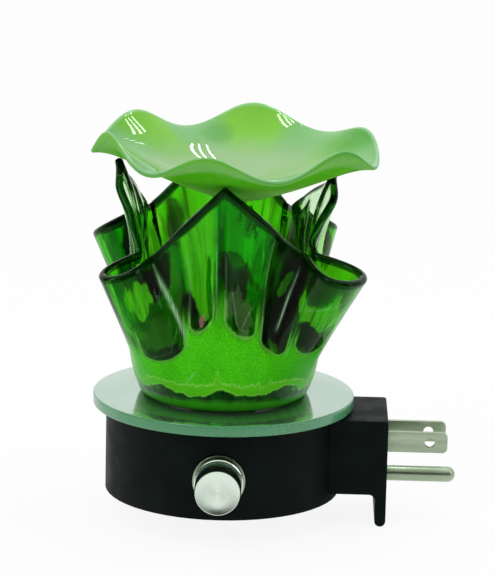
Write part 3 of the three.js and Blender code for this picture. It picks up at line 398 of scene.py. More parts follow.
# Painted shade and painted dark reflections, as dark patches in the glass
DARK_PATCHES = (
    (10.8, 0.47, 0.6, 0.07, 1.0), (10.95, 0.9, 0.3, 0.12, 1.0), (13.6, 0.64, 0.34, 0.1, 1.0),
    (12.31, 0.75, 0.32, 0.06, 0.95), (13.5, 0.94, 0.25, 0.07, 0.8), (11.4, 0.64, 0.12, 0.13, 1.0),
    (11.64, 0.54, 0.2, 0.035, 0.9), (15.5, 0.82, 0.3, 0.14, 1.0), (1.15, 0.86, 0.4, 0.14, 1.0),
    (2.65, 0.9, 0.25, 0.1, 1.0), (5.4, 0.86, 0.22, 0.14, 1.0), (4.75, 0.86, 0.1, 0.08, 0.8),
)
# Painted shade in olive, lighter than the dark patches
OLIVE_PATCHES = (
    (12.31, 0.62, 0.3, 0.13, 0.9), (10.75, 0.58, 0.38, 0.13, 0.35), (11.24, 0.8, 0.12, 0.14, 0.35),
)
# A painted rose glint at the bottom of a front pocket
ROSE_GLINT_PATCHES = ((11.54, 0.585, 0.07, 0.035, 0.8),)
# Borders of the patches, and the ends of the pale lines
PATCH_BORDER = (0.7, 1.1)
LINE_FADE = 0.03
# Where the lime glaze ends higher or lower above the foot, and where its drips rise: place, half width and height
GLAZE_RISES = ((11.95, 0.4, 0.05), (10.4, 0.8, 0.07), (13.7, 0.9, 0.09), (11.3, 0.3, -0.02))
DRIP_RISES = (
    (11.92, 0.09, 0.07), (12.8, 0.07, 0.05), (13.05, 0.08, 0.045), (10.4, 0.8, 0.06), (13.7, 0.9, 0.08),
)
# Levels at which the glaze starts and ends, its bright edge, the drips, the smooth glaze below them, the foot
# and the dark line on the rim
GLAZE_START = (0.145, 0.16)
GLAZE_END = (0.66, 0.86)
GLAZE_EDGE = ((0.135, 0.15), (0.155, 0.175))
DRIP_EDGE = ((0.225, 0.237), (0.24, 0.256))
SMOOTH_END = (0.225, 0.24)
FOOT_END = (0.06, 0.13)
RIM_LINE = (0.97, 0.982)
# Parts of the shade, as places round it: the back, with its pocket outlines painted as shade, and where the front
# begins
BACK_FLOWS = ((2.0, 2.4), (5.6, 6.0))
FRONT_START = (10.0, 10.3)
SHADE_COLOURS = {
    "deep": (0.03, 0.2, 0.003),
    "bright": (0.07, 0.62, 0.007),
    "streak": (0.25, 0.8, 0.05),
    "pocket": (0.1, 0.75, 0.01),
    "clear": (0.8, 0.9, 0.8),
    "shadow_green": (0.008, 0.016, 0.006),
    "shadow_purple": (0.035, 0.022, 0.03),
    "olive_dark": (0.035, 0.075, 0.02),
    "olive_light": (0.1, 0.15, 0.065),
    "lime_dark": (0.04, 0.6, 0.002),
    "lime_light": (0.13, 0.86, 0.008),
    "lime_shade": (0.025, 0.36, 0.002),
    "ridge_glaze_and_highlight": (0.26, 0.85, 0.09),
    "painted": (0.14, 0.85, 0.01),
    "smooth": (0.14, 0.74, 0.012),
    "drip": (0.42, 0.92, 0.15),
    "foot": (0.045, 0.42, 0.008),
    "pale": (0.5, 0.78, 0.5),
    "rose_glint": (0.6, 0.16, 0.3),
    "rim": (0.004, 0.03, 0.004),
}
DISH_COLOURS = {
    "bowl_pale": (0.29, 0.48, 0.22),
    "bowl_green": (0.24, 0.46, 0.15),
    "crest_near_shaded": (0.12, 0.44, 0.01),
    "crest_far_lit": (0.18, 0.52, 0.02),
    "crest_right_shaded": (0.05, 0.34, 0.004),
    "valley_near_shaded": (0.09, 0.36, 0.05),
    "valley_far_lit": (0.15, 0.42, 0.12),
    "shadow_wedge": (0.07, 0.33, 0.03),
    "under_dark": (0.07, 0.42, 0.008),
    "under_light": (0.13, 0.47, 0.03),
    "under_painted_light": (0.42, 0.9, 0.2),
    "lip": (0.2, 0.5, 0.12),
    "fleck": (0.45, 0.62, 0.34),
    "edge": (0.32, 0.6, 0.34),
}
# Painted shadow, a dark wedge between two lobes at the back of the dish, in millimetres
SHADOW_WEDGE_PLACE = (-4.4, 31.5, 0)
SHADOW_WEDGE_REACH = 6.0


def glass_green():
    """Clear green glass with upright streaks, pockets painted dark as shade, a frosted lime band, dark edges, and
    painted highlights and light.
    """
    made, graph = new_material("green_glass_folded")
    tint = SHADE_COLOURS
    level, flow = graph.attribute("level"), graph.attribute("flow")
    pocket, dark = graph.attribute("pocket"), graph.attribute("dark")
    free = graph.minus(1.0, pocket)
    place = graph.add("CombineXYZ", i0=flow, i1=graph.times(level, 0.8)).outputs[0]
    streaks = graph.noise(4.0, 3.0, place=place)
    fine = graph.noise(15.0, 3.0, (1, 0.35, 1), place=place)
    clouds = graph.noise(2.2, 3.0, (1, 1.6, 1), (3.0, 0.4, 0), place=place)
    speckle = graph.noise(2500, 3.0)

    # Lime glaze, with a bright edge above the foot, drips, and smooth glaze below them
    drops = graph.noise(1.5, 5.0, (1, 0.2, 1), (0.7, 0, 0), roughness=0.66, place=place)
    shifted = graph.minus(graph.plus(level, graph.sway(drops, 0.16)), graph.rises(flow, GLAZE_RISES))
    high = graph.plus(level, graph.times(clouds, 0.3))
    glazed = graph.ramp(shifted, *GLAZE_START)
    band = graph.times(graph.times(glazed, graph.fall(high, *GLAZE_END)), free)
    runs = graph.noise(2.3, 6.0, (1, 0.1, 1), (2.7, 0, 0), roughness=0.7, place=place)
    run = graph.minus(graph.plus(level, graph.sway(runs, 0.16)), graph.rises(flow, DRIP_RISES))
    smooth = graph.times(graph.fall(run, *SMOOTH_END), glazed)
    drip = graph.most(graph.window(run, *DRIP_EDGE), graph.times(graph.window(shifted, *GLAZE_EDGE), 0.8))
    drip = graph.times(drip, graph.ramp(fine, 0.4, 0.6, 0.35, 1.0))

    # Patches that noise bends and frays: clear glass, lime, painted shade in dark and olive patches, and a painted
    # glint
    ragged = graph.sway(graph.noise(9.0, 5.0, place=place), 1.4)
    swirl = graph.noise(3.4, 4.0, (1, 1.3, 1), (5.0, 2.0, 0), place=place)
    swell = graph.noise(3.4, 4.0, (1, 1.3, 1), (1.0, 7.0, 0), place=place)
    across = graph.plus(flow, graph.sway(swirl, 0.5))
    along = graph.plus(level, graph.sway(swell, 0.22))
    clear, lime, hollow, rose_glint, shaded_patches, olive = (
        graph.patches(across, along, places, ragged)
        for places in (CLEAR_PATCHES, LIME_PATCHES, HOLLOW_PATCHES, ROSE_GLINT_PATCHES, DARK_PATCHES, OLIVE_PATCHES)
    )
    # Lime, partly glaze and partly painted light shining through the glass
    painted = graph.times(graph.most(graph.attribute("lime"), lime), graph.ramp(fine, 0.3, 0.6, 0.6, 1.0))
    painted = graph.times(painted, graph.minus(1.0, hollow))
    # Painted shade: dark outlines round the pockets at the back, joined to the dark patches
    edges = graph.times(graph.times(pocket, free), 3.6)
    dark = graph.most(graph.most(dark, shaded_patches), graph.times(edges, graph.window(flow, *BACK_FLOWS)))
    dark = graph.times(dark, graph.ramp(clouds, 0.3, 0.45, 0.7, 1.0))
    dark = graph.times(dark, graph.minus(1.0, clear))

    # Bright lines round the front pockets, partly glaze and partly painted highlight, pale lines that are mostly
    # painted highlights, the foot and the rim
    front = graph.times(graph.ramp(flow, *FRONT_START), graph.fall(level, 0.62, 0.72))
    ridge_glaze_and_highlight = graph.times(graph.times(graph.ramp(edges, 0.5, 0.85), front), 0.7)
    pale = graph.strongest(
        (graph.line(flow, level, start, end, width), strength) for start, end, width, strength in HIGHLIGHT_LINES
    )
    broken = graph.noise(45.0, 2.0, (1, 0.1, 1), place=place)
    pale = graph.times(pale, graph.ramp(broken, 0.35, 0.6, 0.35, 1.0))
    foot = graph.fall(level, *FOOT_END)
    rim = graph.ramp(graph.minus(level, graph.times(clear, 0.02)), *RIM_LINE)

    # Painted shade, near-black green and purple
    shading_marks = graph.mix(graph.ramp(clouds, 0.4, 0.6), tint["shadow_green"], tint["shadow_purple"])
    olives = graph.mix(graph.ramp(speckle, 0.35, 0.65), tint["olive_dark"], tint["olive_light"])
    limes = graph.mix(graph.ramp(speckle, 0.3, 0.7), tint["lime_dark"], tint["lime_light"])
    limes = graph.layered(limes, (
        (graph.ramp(clouds, 0.42, 0.62, 0.0, 0.2), tint["lime_shade"]),
        (graph.ramp(flow, 12.6, 13.9, 0.0, 0.5), tint["lime_shade"]),
    ))
    colour = graph.mix(graph.ramp(streaks, 0.4, 0.62), tint["deep"], tint["bright"])
    colour = graph.layered(colour, (
        (graph.ramp(fine, 0.56, 0.72, 0.0, 0.7), tint["streak"]),
        (graph.times(pocket, 0.6), tint["pocket"]),
        (clear, tint["clear"]),
        (dark, shading_marks),
        (olive, olives),
        (band, limes),
        (ridge_glaze_and_highlight, tint["ridge_glaze_and_highlight"]),
        (painted, tint["painted"]),
        (graph.times(smooth, 0.8), tint["smooth"]),
        (graph.times(drip, 0.8), tint["drip"]),
        (graph.times(foot, 0.85), tint["foot"]),
        (pale, tint["pale"]),
        (rose_glint, tint["rose_glint"]),
        (rim, tint["rim"]),
    ))
    solid = graph.strongest((
        (band, 0.75), (foot, 0.75), (rose_glint, 0.75), (pale, 0.8), (painted, 0.6), (olive, 0.7), (ridge_glaze_and_highlight, 0.7),
        (dark, 0.25),
    ))
    roughness = graph.plus(0.015, graph.times(graph.most(band, foot), 0.3))
    relief = graph.plus(graph.times(graph.times(speckle, band), 0.3), streaks)
    shader = graph.add(
        "BsdfPrincipled", Base_Color=colour, Roughness=roughness, IOR=1.5,
        Transmission_Weight=graph.minus(1.0, solid), Specular_IOR_Level=0.3, Specular_Tint=(0.14, 0.45, 0.14),
        Normal=graph.bump(relief, 0.0005, 0.5),
    )
    absorb = graph.add("VolumeAbsorption", Color=(0.8, 0.96, 0.7), Density=400.0)
    surface(graph, shader, absorb)
    return made


def glass_opal():
    """Milky glass, pearly inside, greener on its crests and underneath, with a pale line along the rim, and light
    and shade painted on its lobes and underside.
    """
    made, graph = new_material("opal_glass_ruffled")
    tint = DISH_COLOURS
    inside, rim, crest = graph.attribute("inside"), graph.attribute("rim"), graph.attribute("crest")
    cloud = graph.noise(38, 4.0, (1, 1, 1.4))
    fine = graph.noise(260, 5.0)
    place = graph.add("SeparateXYZ", i0=graph.add("TexCoord").outputs["Object"])
    x, y = place.outputs["X"], place.outputs["Y"]
    middle_x, middle_y, _ = to_frame((DISH_OFFSET, 0, 0))

    bowl = graph.mix(graph.ramp(cloud, 0.38, 0.64), tint["bowl_pale"], tint["bowl_green"])
    # Painted light and shade on the lobes: lighter behind, darker in front and on the right crest
    behind = graph.ramp(y, middle_y + 0.01, middle_y + 0.03)
    right = graph.ramp(x, middle_x + 0.015, middle_x + 0.035)
    crests = graph.mix(behind, tint["crest_near_shaded"], tint["crest_far_lit"])
    crests = graph.mix(right, crests, tint["crest_right_shaded"])
    valleys = graph.mix(graph.ramp(y, middle_y - 0.03, middle_y), tint["valley_near_shaded"], tint["valley_far_lit"])
    lobes = graph.mix(graph.ramp(crest, -0.4, 0.5), valleys, crests)
    shadow_wedge = graph.oval(x, y, to_frame(SHADOW_WEDGE_PLACE), (SHADOW_WEDGE_REACH * MM, SHADOW_WEDGE_REACH * MM))
    pearl = graph.layered(bowl, (
        (graph.ramp(rim, 0.45, 0.85), lobes),
        (graph.ramp(shadow_wedge, 0.0, 1.3, 0.6, 0.0), tint["shadow_wedge"]),
    ))
    lip = graph.most(graph.ramp(graph.gap(x, middle_x), 0.032, 0.044), graph.ramp(rim, 0.92, 0.975))
    edge = graph.times(graph.ramp(inside, 0.45, 0.7), graph.ramp(rim, 0.985, 1.0))
    under = graph.mix(graph.ramp(cloud, 0.35, 0.7), tint["under_dark"], tint["under_light"])
    colour = graph.layered(under, (
        # Painted light: the underside lighter towards the middle, where it lies in shade
        (graph.ramp(rim, 0.35, 0.75, 0.8, 0.0), tint["under_painted_light"]),
        (graph.times(lip, 0.8), tint["lip"]),
        (graph.ramp(inside, 0.2, 0.6), pearl),
        (graph.times(graph.ramp(fine, 0.5, 0.8), 0.12), tint["fleck"]),
        (graph.times(edge, 0.55), tint["edge"]),
    ))
    rough = graph.plus(graph.ramp(inside, 0.3, 0.8, 0.5, 0.1), graph.ramp(fine, 0.3, 0.7, 0.0, 0.06))
    shader = graph.add(
        "BsdfPrincipled", Base_Color=colour, Roughness=rough, IOR=1.5, Specular_IOR_Level=0.0,
        Coat_Weight=graph.ramp(inside, 0.3, 0.8, 0.0, 0.8), Coat_Roughness=0.02, Subsurface_Weight=0.2,
        Subsurface_Scale=0.002, Subsurface_Radius=(0.6, 1.0, 0.4),
        Normal=graph.bump(graph.noise(55, 2.0), 0.0006, 0.2),
    )
    surface(graph, shader)
    return made


def mirror_face():
    made, graph = new_material("mirror_silvered")
    dust = graph.noise(320, 5.0)
    smear = graph.noise(26, 3.0)
    colour = graph.mix(graph.ramp(smear, 0.35, 0.7), (0.47, 0.63, 0.53), (0.52, 0.67, 0.57))
    rough = graph.plus(graph.ramp(smear, 0.3, 0.7, 0.07, 0.11), graph.ramp(dust, 0.55, 0.8, 0.0, 0.04))
    shader = graph.add("BsdfPrincipled", Base_Color=colour, Roughness=rough, Metallic=0.92)
    surface(graph, shader)
    return made


def mirror_edge():
    made, graph = new_material("mirror_ground_edge")
    fine = graph.noise(600, 4.0)
    cloud = graph.noise(40, 3.0)
    colour = graph.mix(graph.ramp(cloud, 0.35, 0.7), (0.055, 0.27, 0.11), (0.085, 0.32, 0.15))
    shader = graph.add(
        "BsdfPrincipled", Base_Color=colour, Roughness=graph.ramp(fine, 0.3, 0.7, 0.22, 0.38), IOR=1.5,
        Coat_Weight=0.5, Coat_Roughness=0.1, Normal=graph.bump(fine, 0.0001, 0.4),
    )
    surface(graph, shader)
    return made


def knob_metal():
    """Turned metal: fine rings, with highlights that fan out from the middle."""
    made, graph = new_material("aluminium_turned")
    place = graph.add("TexCoord").outputs["Object"]
    flat = graph.add("VectorMath", {"operation": "MULTIPLY"}, i0=place, i1=(1.0, 1.0, 0.0)).outputs[0]
    radius = graph.add("VectorMath", {"operation": "LENGTH"}, i0=flat).outputs["Value"]
    rings = graph.add("TexNoise", {"noise_dimensions": "1D"}, W=radius, Scale=9000.0, Detail=3.0).outputs["Fac"]
    cloud = graph.noise(700, 3.0)
    colour = graph.mix(graph.ramp(rings, 0.3, 0.7), (0.66, 0.79, 0.66), (0.82, 0.93, 0.82))
    rough = graph.plus(graph.ramp(rings, 0.3, 0.7, 0.18, 0.28), graph.times(cloud, 0.06))
    tangent = graph.add("Tangent", {"direction_type": "RADIAL", "axis": "Z"}).outputs[0]
    shader = graph.add(
        "BsdfPrincipled", Base_Color=colour, Roughness=rough, Metallic=1.0, Anisotropic=0.85, Tangent=tangent,
        Normal=graph.bump(rings, 0.00002, 0.5),
    )
    surface(graph, shader)
    return made


def glass_clear():
    made, graph = new_material("quartz_clear")
    cloud = graph.noise(120, 3.0)
    colour = graph.mix(graph.ramp(cloud, 0.3, 0.7), (0.93, 0.96, 0.95), (0.98, 0.99, 0.98))
    rough = graph.ramp(graph.noise(300, 4.0), 0.4, 0.8, 0.0, 0.05)
    shader = graph.add("BsdfPrincipled", Base_Color=colour, Roughness=rough, IOR=1.46, Transmission_Weight=1.0)
    surface(graph, shader)
    return made


MATERIALS = {
    "black_plastic": plain(
        "black_plastic_moulded", (0.003, 0.0062, 0.005), (0.0055, 0.01, 0.0085), (0.42, 0.56), 60, 0.00006,
        Specular_IOR_Level=0.05,
    ),
    "steel": plain("steel_zinc_plated", (0.5, 0.51, 0.5), (0.68, 0.69, 0.68), (0.24, 0.4), 400, 0.00002, 1.0),
    "nickel": plain(
        "nickel_drawn", (0.32, 0.4, 0.28), (0.43, 0.52, 0.38), (0.22, 0.36), 260, 0.00001, 1.0, (0.12, 1, 1),
    ),
    "aluminium": knob_metal(),
    "aluminium_side": plain("aluminium_knurled", (0.56, 0.66, 0.56), (0.7, 0.8, 0.7), (0.1, 0.2), 500, 0.0, 1.0),
    "foam": plain("foam_black", (0.012, 0.012, 0.012), (0.03, 0.03, 0.03), (0.85, 0.98), 900, 0.0002),
    "ceramic": plain("ceramic_fired", (0.74, 0.71, 0.63), (0.84, 0.82, 0.76), (0.32, 0.48), 180, 0.00006),
    "board": plain("board_masked", (0.02, 0.12, 0.04), (0.04, 0.2, 0.07), (0.3, 0.5), 300, 0.00003),
    "component": plain("component_moulded", (0.012, 0.012, 0.013), (0.03, 0.03, 0.032), (0.4, 0.6), 500, 0.00004),
    "film_capacitor": plain("capacitor_dipped", (0.3, 0.03, 0.015), (0.42, 0.06, 0.03), (0.2, 0.36), 200, 0.00008),
    "ferrite": plain("ferrite_wound", (0.1, 0.045, 0.016), (0.3, 0.14, 0.05), (0.4, 0.6), 500, 0.0001),
    "black_lead": plain("lead_black", (0.01, 0.01, 0.01), (0.025, 0.025, 0.025), (0.4, 0.55), 500, 0.00003),
    "white_lead": plain("lead_white", (0.6, 0.6, 0.56), (0.72, 0.72, 0.68), (0.4, 0.55), 500, 0.00003),
    "red_lead": plain("lead_red", (0.24, 0.012, 0.01), (0.36, 0.025, 0.018), (0.4, 0.55), 500, 0.00003),
    "green_lead": plain("lead_green", (0.02, 0.16, 0.03), (0.04, 0.26, 0.06), (0.4, 0.55), 500, 0.00003),
    "clear_glass": glass_clear(),
    "green_glass": glass_green(),
    "opal_glass": glass_opal(),
    "mirror": mirror_face(),
    "mirror_edge": mirror_edge(),
}


# Meshes
def full_turn(count):
    """Azimuths evenly round a turn."""
    return np.linspace(0, 2 * math.pi, count, endpoint=False)


def ring(turns, radius, height):
    """A loop of points about +Z. Its radius and height may vary round it."""
    return np.stack([radius * np.cos(turns), radius * np.sin(turns), np.full(len(turns), height)], axis=1)


def lofted(name, rows, caps=None):
    """A closed mesh over rows of points, each row a loop. Caps are the two end points, and where there are none
    the last row joins the first."""
    count = len(rows[0])
    around = [(index, (index + 1) % count) for index in range(count)]
    starts = [count * row for row in range(len(rows))]
    pairs = list(zip(starts, starts[1:]))
    if caps is None:
        pairs.append((starts[-1], 0))
    points = np.concatenate(rows)
    faces = [
        (lower + index, lower + after, upper + after, upper + index)
        for lower, upper in pairs for index, after in around
    ]
    if caps is not None:
        first, last = len(points), len(points) + 1
        points = np.concatenate([points, caps])
        for index, after in around:
            faces += [(first, after, index), (last, starts[-1] + index, starts[-1] + after)]
    mesh = bpy.data.meshes.new(name)
    mesh.from_pydata([tuple(point) for point in points], [], faces)
    return mesh


def new_object(name, data):
    made = bpy.data.objects.new(name, data)
    bpy.context.scene.collection.objects.link(made)
    return made


def finished(name, mesh, sharp=40.0):
    """An object of a mesh, faces turned outward, smooth apart from edges sharper than an angle."""
    shape = bmesh.new()
    shape.from_mesh(mesh)
    bmesh.ops.recalc_face_normals(shape, faces=shape.faces)
    shape.to_mesh(mesh)
    shape.free()
    mesh.shade_smooth()
    mesh.set_sharp_from_angle(angle=math.radians(sharp))
    return new_object(name, mesh)


def dress(piece, body, material, replaced):
    """Gives a new piece its material and body, and hides the CAD node that it stands for."""
    piece.data.materials.append(MATERIALS[material])
    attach(piece, body)
    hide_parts(replaced)


def set_attribute(mesh, name, values):
    layer = mesh.attributes.new(name, "FLOAT", "POINT")
    layer.data.foreach_set("value", np.asarray(values, np.float32))


def set_flow(mesh, flows):
    """Place round the shade of each corner of its quads, so that it runs on past the last station."""
    corners = np.zeros(len(mesh.loops), np.int32)
    mesh.loops.foreach_get("vertex_index", corners)
    station = (corners % len(flows)).reshape(-1, 4)
    flow = np.asarray(flows, np.float32)[station]
    wrapped = np.ptp(station, axis=1) > 1
    flow[wrapped] = np.where(station[wrapped] == 0, flow[wrapped] + FULL_FLOW, flow[wrapped])
    layer = mesh.attributes.new("flow", "FLOAT", "CORNER")
    layer.data.foreach_set("value", flow.ravel())


# Dish
def rim_radius(turn):
    """Radius of the dish's rim at an azimuth about its own axis."""
    away = (np.degrees(turn) - LOBE_AZIMUTH + 180) % 360 - 180
    return DISH_RADIUS * (1 + LOBE_REACH * np.exp(-((away / LOBE_SPREAD) ** 2)))


def rim_ruffle(turn):
    """Rise and fall of the rim at an azimuth."""
    return sum(
        DISH_RADIUS * size * np.cos(count * (turn - math.radians(crest))) for count, size, crest in RIM_WAVES
    )


def dish_underside(radius, turn):
    """Height of the dish's underside above its lowest point, at a radius and azimuth about its own axis."""
    share = radius / rim_radius(turn)
    ruffle = rim_ruffle(turn)
    lean = math.tan(DISH_LEAN) * radius * np.cos(turn - DISH_LEAN_TOWARDS)
    return DISH_DEPTH * share**DISH_BOWL_POWER + ruffle * share**DISH_RUFFLE_POWER - lean


def dish_row(radius, turns, lift):
    """A ring of the dish, lifted from its underside by a share of the wall, which is measured square to it."""
    step = 0.1
    under = dish_underside(radius, turns)
    slope = (dish_underside(radius + step, turns) - under) / step
    wall = DISH_WALL + (DISH_RIM_WALL - DISH_WALL) * (radius / rim_radius(turns)) ** 2
    rise = lift * wall * np.hypot(1, slope)
    return ring(turns, radius, DISH_BOTTOM + under + rise) + (DISH_OFFSET, 0, 0)


def build_dish():
    turns = full_turn(DISH_SIDES)
    rim_round = DISH_RIM_WALL / 2
    edge = rim_radius(turns) - rim_round
    shares = [((step + 1) / DISH_RINGS) ** DISH_RING_SPREAD for step in range(DISH_RINGS)]
    # Radius, lift, and shares of the way to the inside and to the rim
    sections = [(edge * share, 0.0, 0.0, share) for share in shares]
    for step in range(1, RIM_STEPS):
        turn = math.pi * step / RIM_STEPS
        sections.append((edge + rim_round * math.sin(turn), (1 - math.cos(turn)) / 2, step / RIM_STEPS, 1.0))
    sections += [(edge * share, 1.0, 1.0, share) for share in reversed(shares)]
    rows = [to_frame(dish_row(radius, turns, lift)) for radius, lift, _, _ in sections]
    middle = [to_frame(dish_row(1e-6, turns[:1], lift)[0]) for lift in (0.0, 1.0)]
    mesh = lofted("dish_ruffled", rows, middle)
    inside, rim = ([section[index] for section in sections] for index in (2, 3))
    set_attribute(mesh, "inside", np.append(np.repeat(inside, DISH_SIDES), (0.0, 1.0)))
    set_attribute(mesh, "rim", np.append(np.repeat(rim, DISH_SIDES), (0.0, 0.0)))
    crest = rim_ruffle(turns) / np.abs(rim_ruffle(turns)).max()
    set_attribute(mesh, "crest", np.append(np.tile(crest, len(rows)), (0.0, 0.0)))
    dress(finished("dish_ruffled", mesh), "dish", "opal_glass", "oil_dish")


# Shade
def polar(radius, turn, height=0.0):
    return np.array([radius * math.cos(turn), radius * math.sin(turn), height])


def peak_height(azimuth, reach):
    """Height of a peak's tip, just under the dish."""
    inner = polar(reach * SHADE_FOOT_RADIUS - SHADE_WALL / 2, math.radians(azimuth))
    x = inner[0] - DISH_OFFSET
    under = dish_underside(math.hypot(x, inner[1]), math.atan2(inner[1], x))
    return DISH_BOTTOM + under - SEAT_GAP


def edge_stretch(peak, pleat, side, panel):
    """Stations of the sheet's edge from a peak to a pleat's tip: rim point, foot turn, panel share and panel."""
    azimuth, reach = peak
    pleat_azimuth, tip_reach, tip_rise, root_reach, root_rise, neck, bulge, draw = pleat
    span = pleat_azimuth - azimuth
    top = peak_height(azimuth, reach)
    peak_radius, root_radius, tip_radius = (SHADE_FOOT_RADIUS * r for r in (reach, root_reach, tip_reach))
    root_height = SHADE_BASE + root_rise * SHADE_CLEARANCE
    tip_height = SHADE_BASE + tip_rise * SHADE_CLEARANCE
    root_span = span - side * math.degrees(neck / root_reach)
    stations = []
    for step in range(PANEL_STEPS):
        share = step / PANEL_STEPS
        swing = draw * SHADE_FOOT_RADIUS * math.sin(math.pi * share**WAIST_RISE)
        radius = peak_radius + (root_radius - peak_radius) * share - swing
        height = top + (root_height - top) * share
        rim = polar(radius, math.radians(azimuth + root_span * share), height)
        foot = math.radians(azimuth + span * PLEAT_START * share)
        stations.append((rim, foot, side * share, panel))
    out = polar(1, math.radians(pleat_azimuth))
    across = polar(1, math.radians(pleat_azimuth - side * 90))
    for step in range(PLEAT_STEPS + 1):
        share = step / PLEAT_STEPS
        turn = share * math.pi / 2
        reach_now = root_radius + (tip_radius - root_radius) * math.sin(turn)
        half_width = neck * math.cos(turn) + bulge * math.sin(2 * turn)
        rim = out * reach_now + across * half_width * SHADE_FOOT_RADIUS
        rim[2] = root_height + (tip_height - root_height) * math.sin(turn)
        foot = math.radians(azimuth + span * (PLEAT_START + (1 - PLEAT_START) * share))
        stations.append((rim, foot, side * (1 + share), panel))
    return stations


def sheet_edge():
    """All stations round the sheet's edge, each peak and each pleat tip once."""
    stations = []
    for index, (peak, pleat) in enumerate(zip(PEAKS, PLEATS)):
        after = (index + 1) % len(PEAKS)
        turn = 0 if after else 360
        next_peak = (PEAKS[after][0] + turn, PEAKS[after][1])
        down = edge_stretch(peak, pleat, 1, index)
        up = edge_stretch(next_peak, pleat, -1, after)[::-1]
        stations += down + up[1:-1]
    return stations


def smooth_step(value):
    value = min(max(value, 0.0), 1.0)
    return value * value * (3 - 2 * value)


def flute_masks(share, panel, level, ramp):
    """Each flute of a panel as its depth, shading tone, profile across and rise from its round bottom end."""
    masks = []
    for centre, half, start, depth, shading_tone in FLUTES[panel]:
        across = (share - centre) / half
        if abs(across) < 1:
            begin = start + FLUTE_BOTTOM * (1 - math.sqrt(1 - across**2))
            masks.append((depth, shading_tone, 1 - across**2, smooth_step((level - begin) / ramp)))
    return masks


def flute_depth(share, panel, level):
    """How far the panel is drawn in by its hollow flutes, which fade near the rim and the pleats."""
    flutes = flute_masks(share, panel, level, FLUTE_RAMP)
    drawn = sum(depth * across**2 * rise for depth, _, across, rise in flutes)
    fade = (1 - FLUTE_FADE * level**FLUTE_FADE_POWER) * smooth_step((FLUTE_END - abs(share)) / FLUTE_END_RAMP)
    return drawn * fade


def flute_shading(share, panel, level):
    """Share of the sheet at a point that lies in a flute, that is painted dark as shade, and that is painted lime.
    """
    inside = dark = lime = 0.0
    for _, shading_tone, across, rise in flute_masks(share, panel, level, STAIN_RAMP):
        mask = min(1.0, STAIN_BORDER * across) * rise
        inside = max(inside, mask)
        dark = max(dark, shading_tone * mask)
        lime = max(lime, -shading_tone * mask)
    return inside, dark, lime


def sheet_point(station, level):
    """A point of the sheet's middle surface at a level from foot to rim."""
    rim, foot_turn, share, panel = station
    foot_height = SHADE_BASE + SHADE_WALL / 2
    foot = polar(SHADE_FOOT_RADIUS, foot_turn, foot_height)
    flare = polar(
        SHADE_FOOT_RADIUS + SHADE_FLARE_LENGTH * math.sin(SHADE_FLARE),
        foot_turn,
        foot_height + SHADE_FLARE_LENGTH * math.cos(SHADE_FLARE),
    )
    point = (1 - level) ** 2 * foot + 2 * level * (1 - level) * flare + level**2 * rim
    fade = 1 - min(abs(share), 1.0) ** PANEL_FADE
    waist = PANEL_WAIST * math.sin(math.pi * level**WAIST_RISE)
    inward = fade * waist + flute_depth(share, panel, level)
    scale = 1 - inward / math.hypot(point[0], point[1])
    return point * np.array([scale, scale, 1.0])


def unit(vectors):
    return vectors / np.linalg.norm(vectors, axis=2, keepdims=True)


def build_shade():
    stations = sheet_edge()
    levels = [(step / SHADE_LEVELS) ** SHADE_LEVEL_SPREAD for step in range(SHADE_LEVELS + 1)]
    middle = np.array([[sheet_point(station, level) for station in stations] for level in levels])
    along = np.roll(middle, -1, axis=1) - np.roll(middle, 1, axis=1)
    up = unit(np.gradient(middle, axis=0))
    normal = unit(np.cross(along, up))
    half = SHADE_WALL / 2
    round_off = half * SHADE_RIM_ROUND
    feet = np.array([station[1] for station in stations])
    underside = SHADE_BASE - FOOT_DROP
    foot = (
        (SHADE_HOLE_RADIUS, underside),
        (SHADE_FOOT_RADIUS - FOOT_EASE, underside),
        (SHADE_FOOT_RADIUS + FOOT_EASE, underside + FOOT_EASE),
        (SHADE_FOOT_RADIUS + 2 * FOOT_EASE, underside + 2 * FOOT_EASE),
    )
    wall = range(2, SHADE_LEVELS - 1)
    # Level and points of each row: foot, outside, rim, inside and floor
    rows = [(0.0, ring(feet, radius, height)) for radius, height in foot]
    rows += [(levels[row], middle[row] + half * normal[row]) for row in wall]
    rim = middle[-1] - round_off * up[-1]
    for step in range(RIM_STEPS + 1):
        turn = math.pi * step / RIM_STEPS
        rows.append((1.0, rim + half * math.cos(turn) * normal[-1] + round_off * math.sin(turn) * up[-1]))
    rows += [(levels[row], middle[row] - half * normal[row]) for row in reversed(wall)]
    for radius in (SHADE_FOOT_RADIUS - half, SHADE_HOLE_RADIUS):
        rows.append((0.0, ring(feet, radius, SHADE_BASE + SHADE_WALL)))
    row_levels = [level for level, _ in rows]
    mesh = lofted("shade_folded", [to_frame(points) for _, points in rows])
    set_attribute(mesh, "level", np.repeat(row_levels, len(stations)))
    # Each flute's inside, its painted dark shade and its lime
    shading_marks = np.array([
        [flute_shading(share, panel, level) for _, _, share, panel in stations] for level in row_levels
    ])
    for index, attribute in enumerate(("pocket", "dark", "lime")):
        set_attribute(mesh, attribute, shading_marks[:, :, index].ravel())
    set_flow(mesh, [(PANEL_FLOW * panel + share) % FULL_FLOW for _, _, share, panel in stations])
    dress(finished("shade_folded", mesh, sharp=50), "shade", "green_glass", "glass_shade")


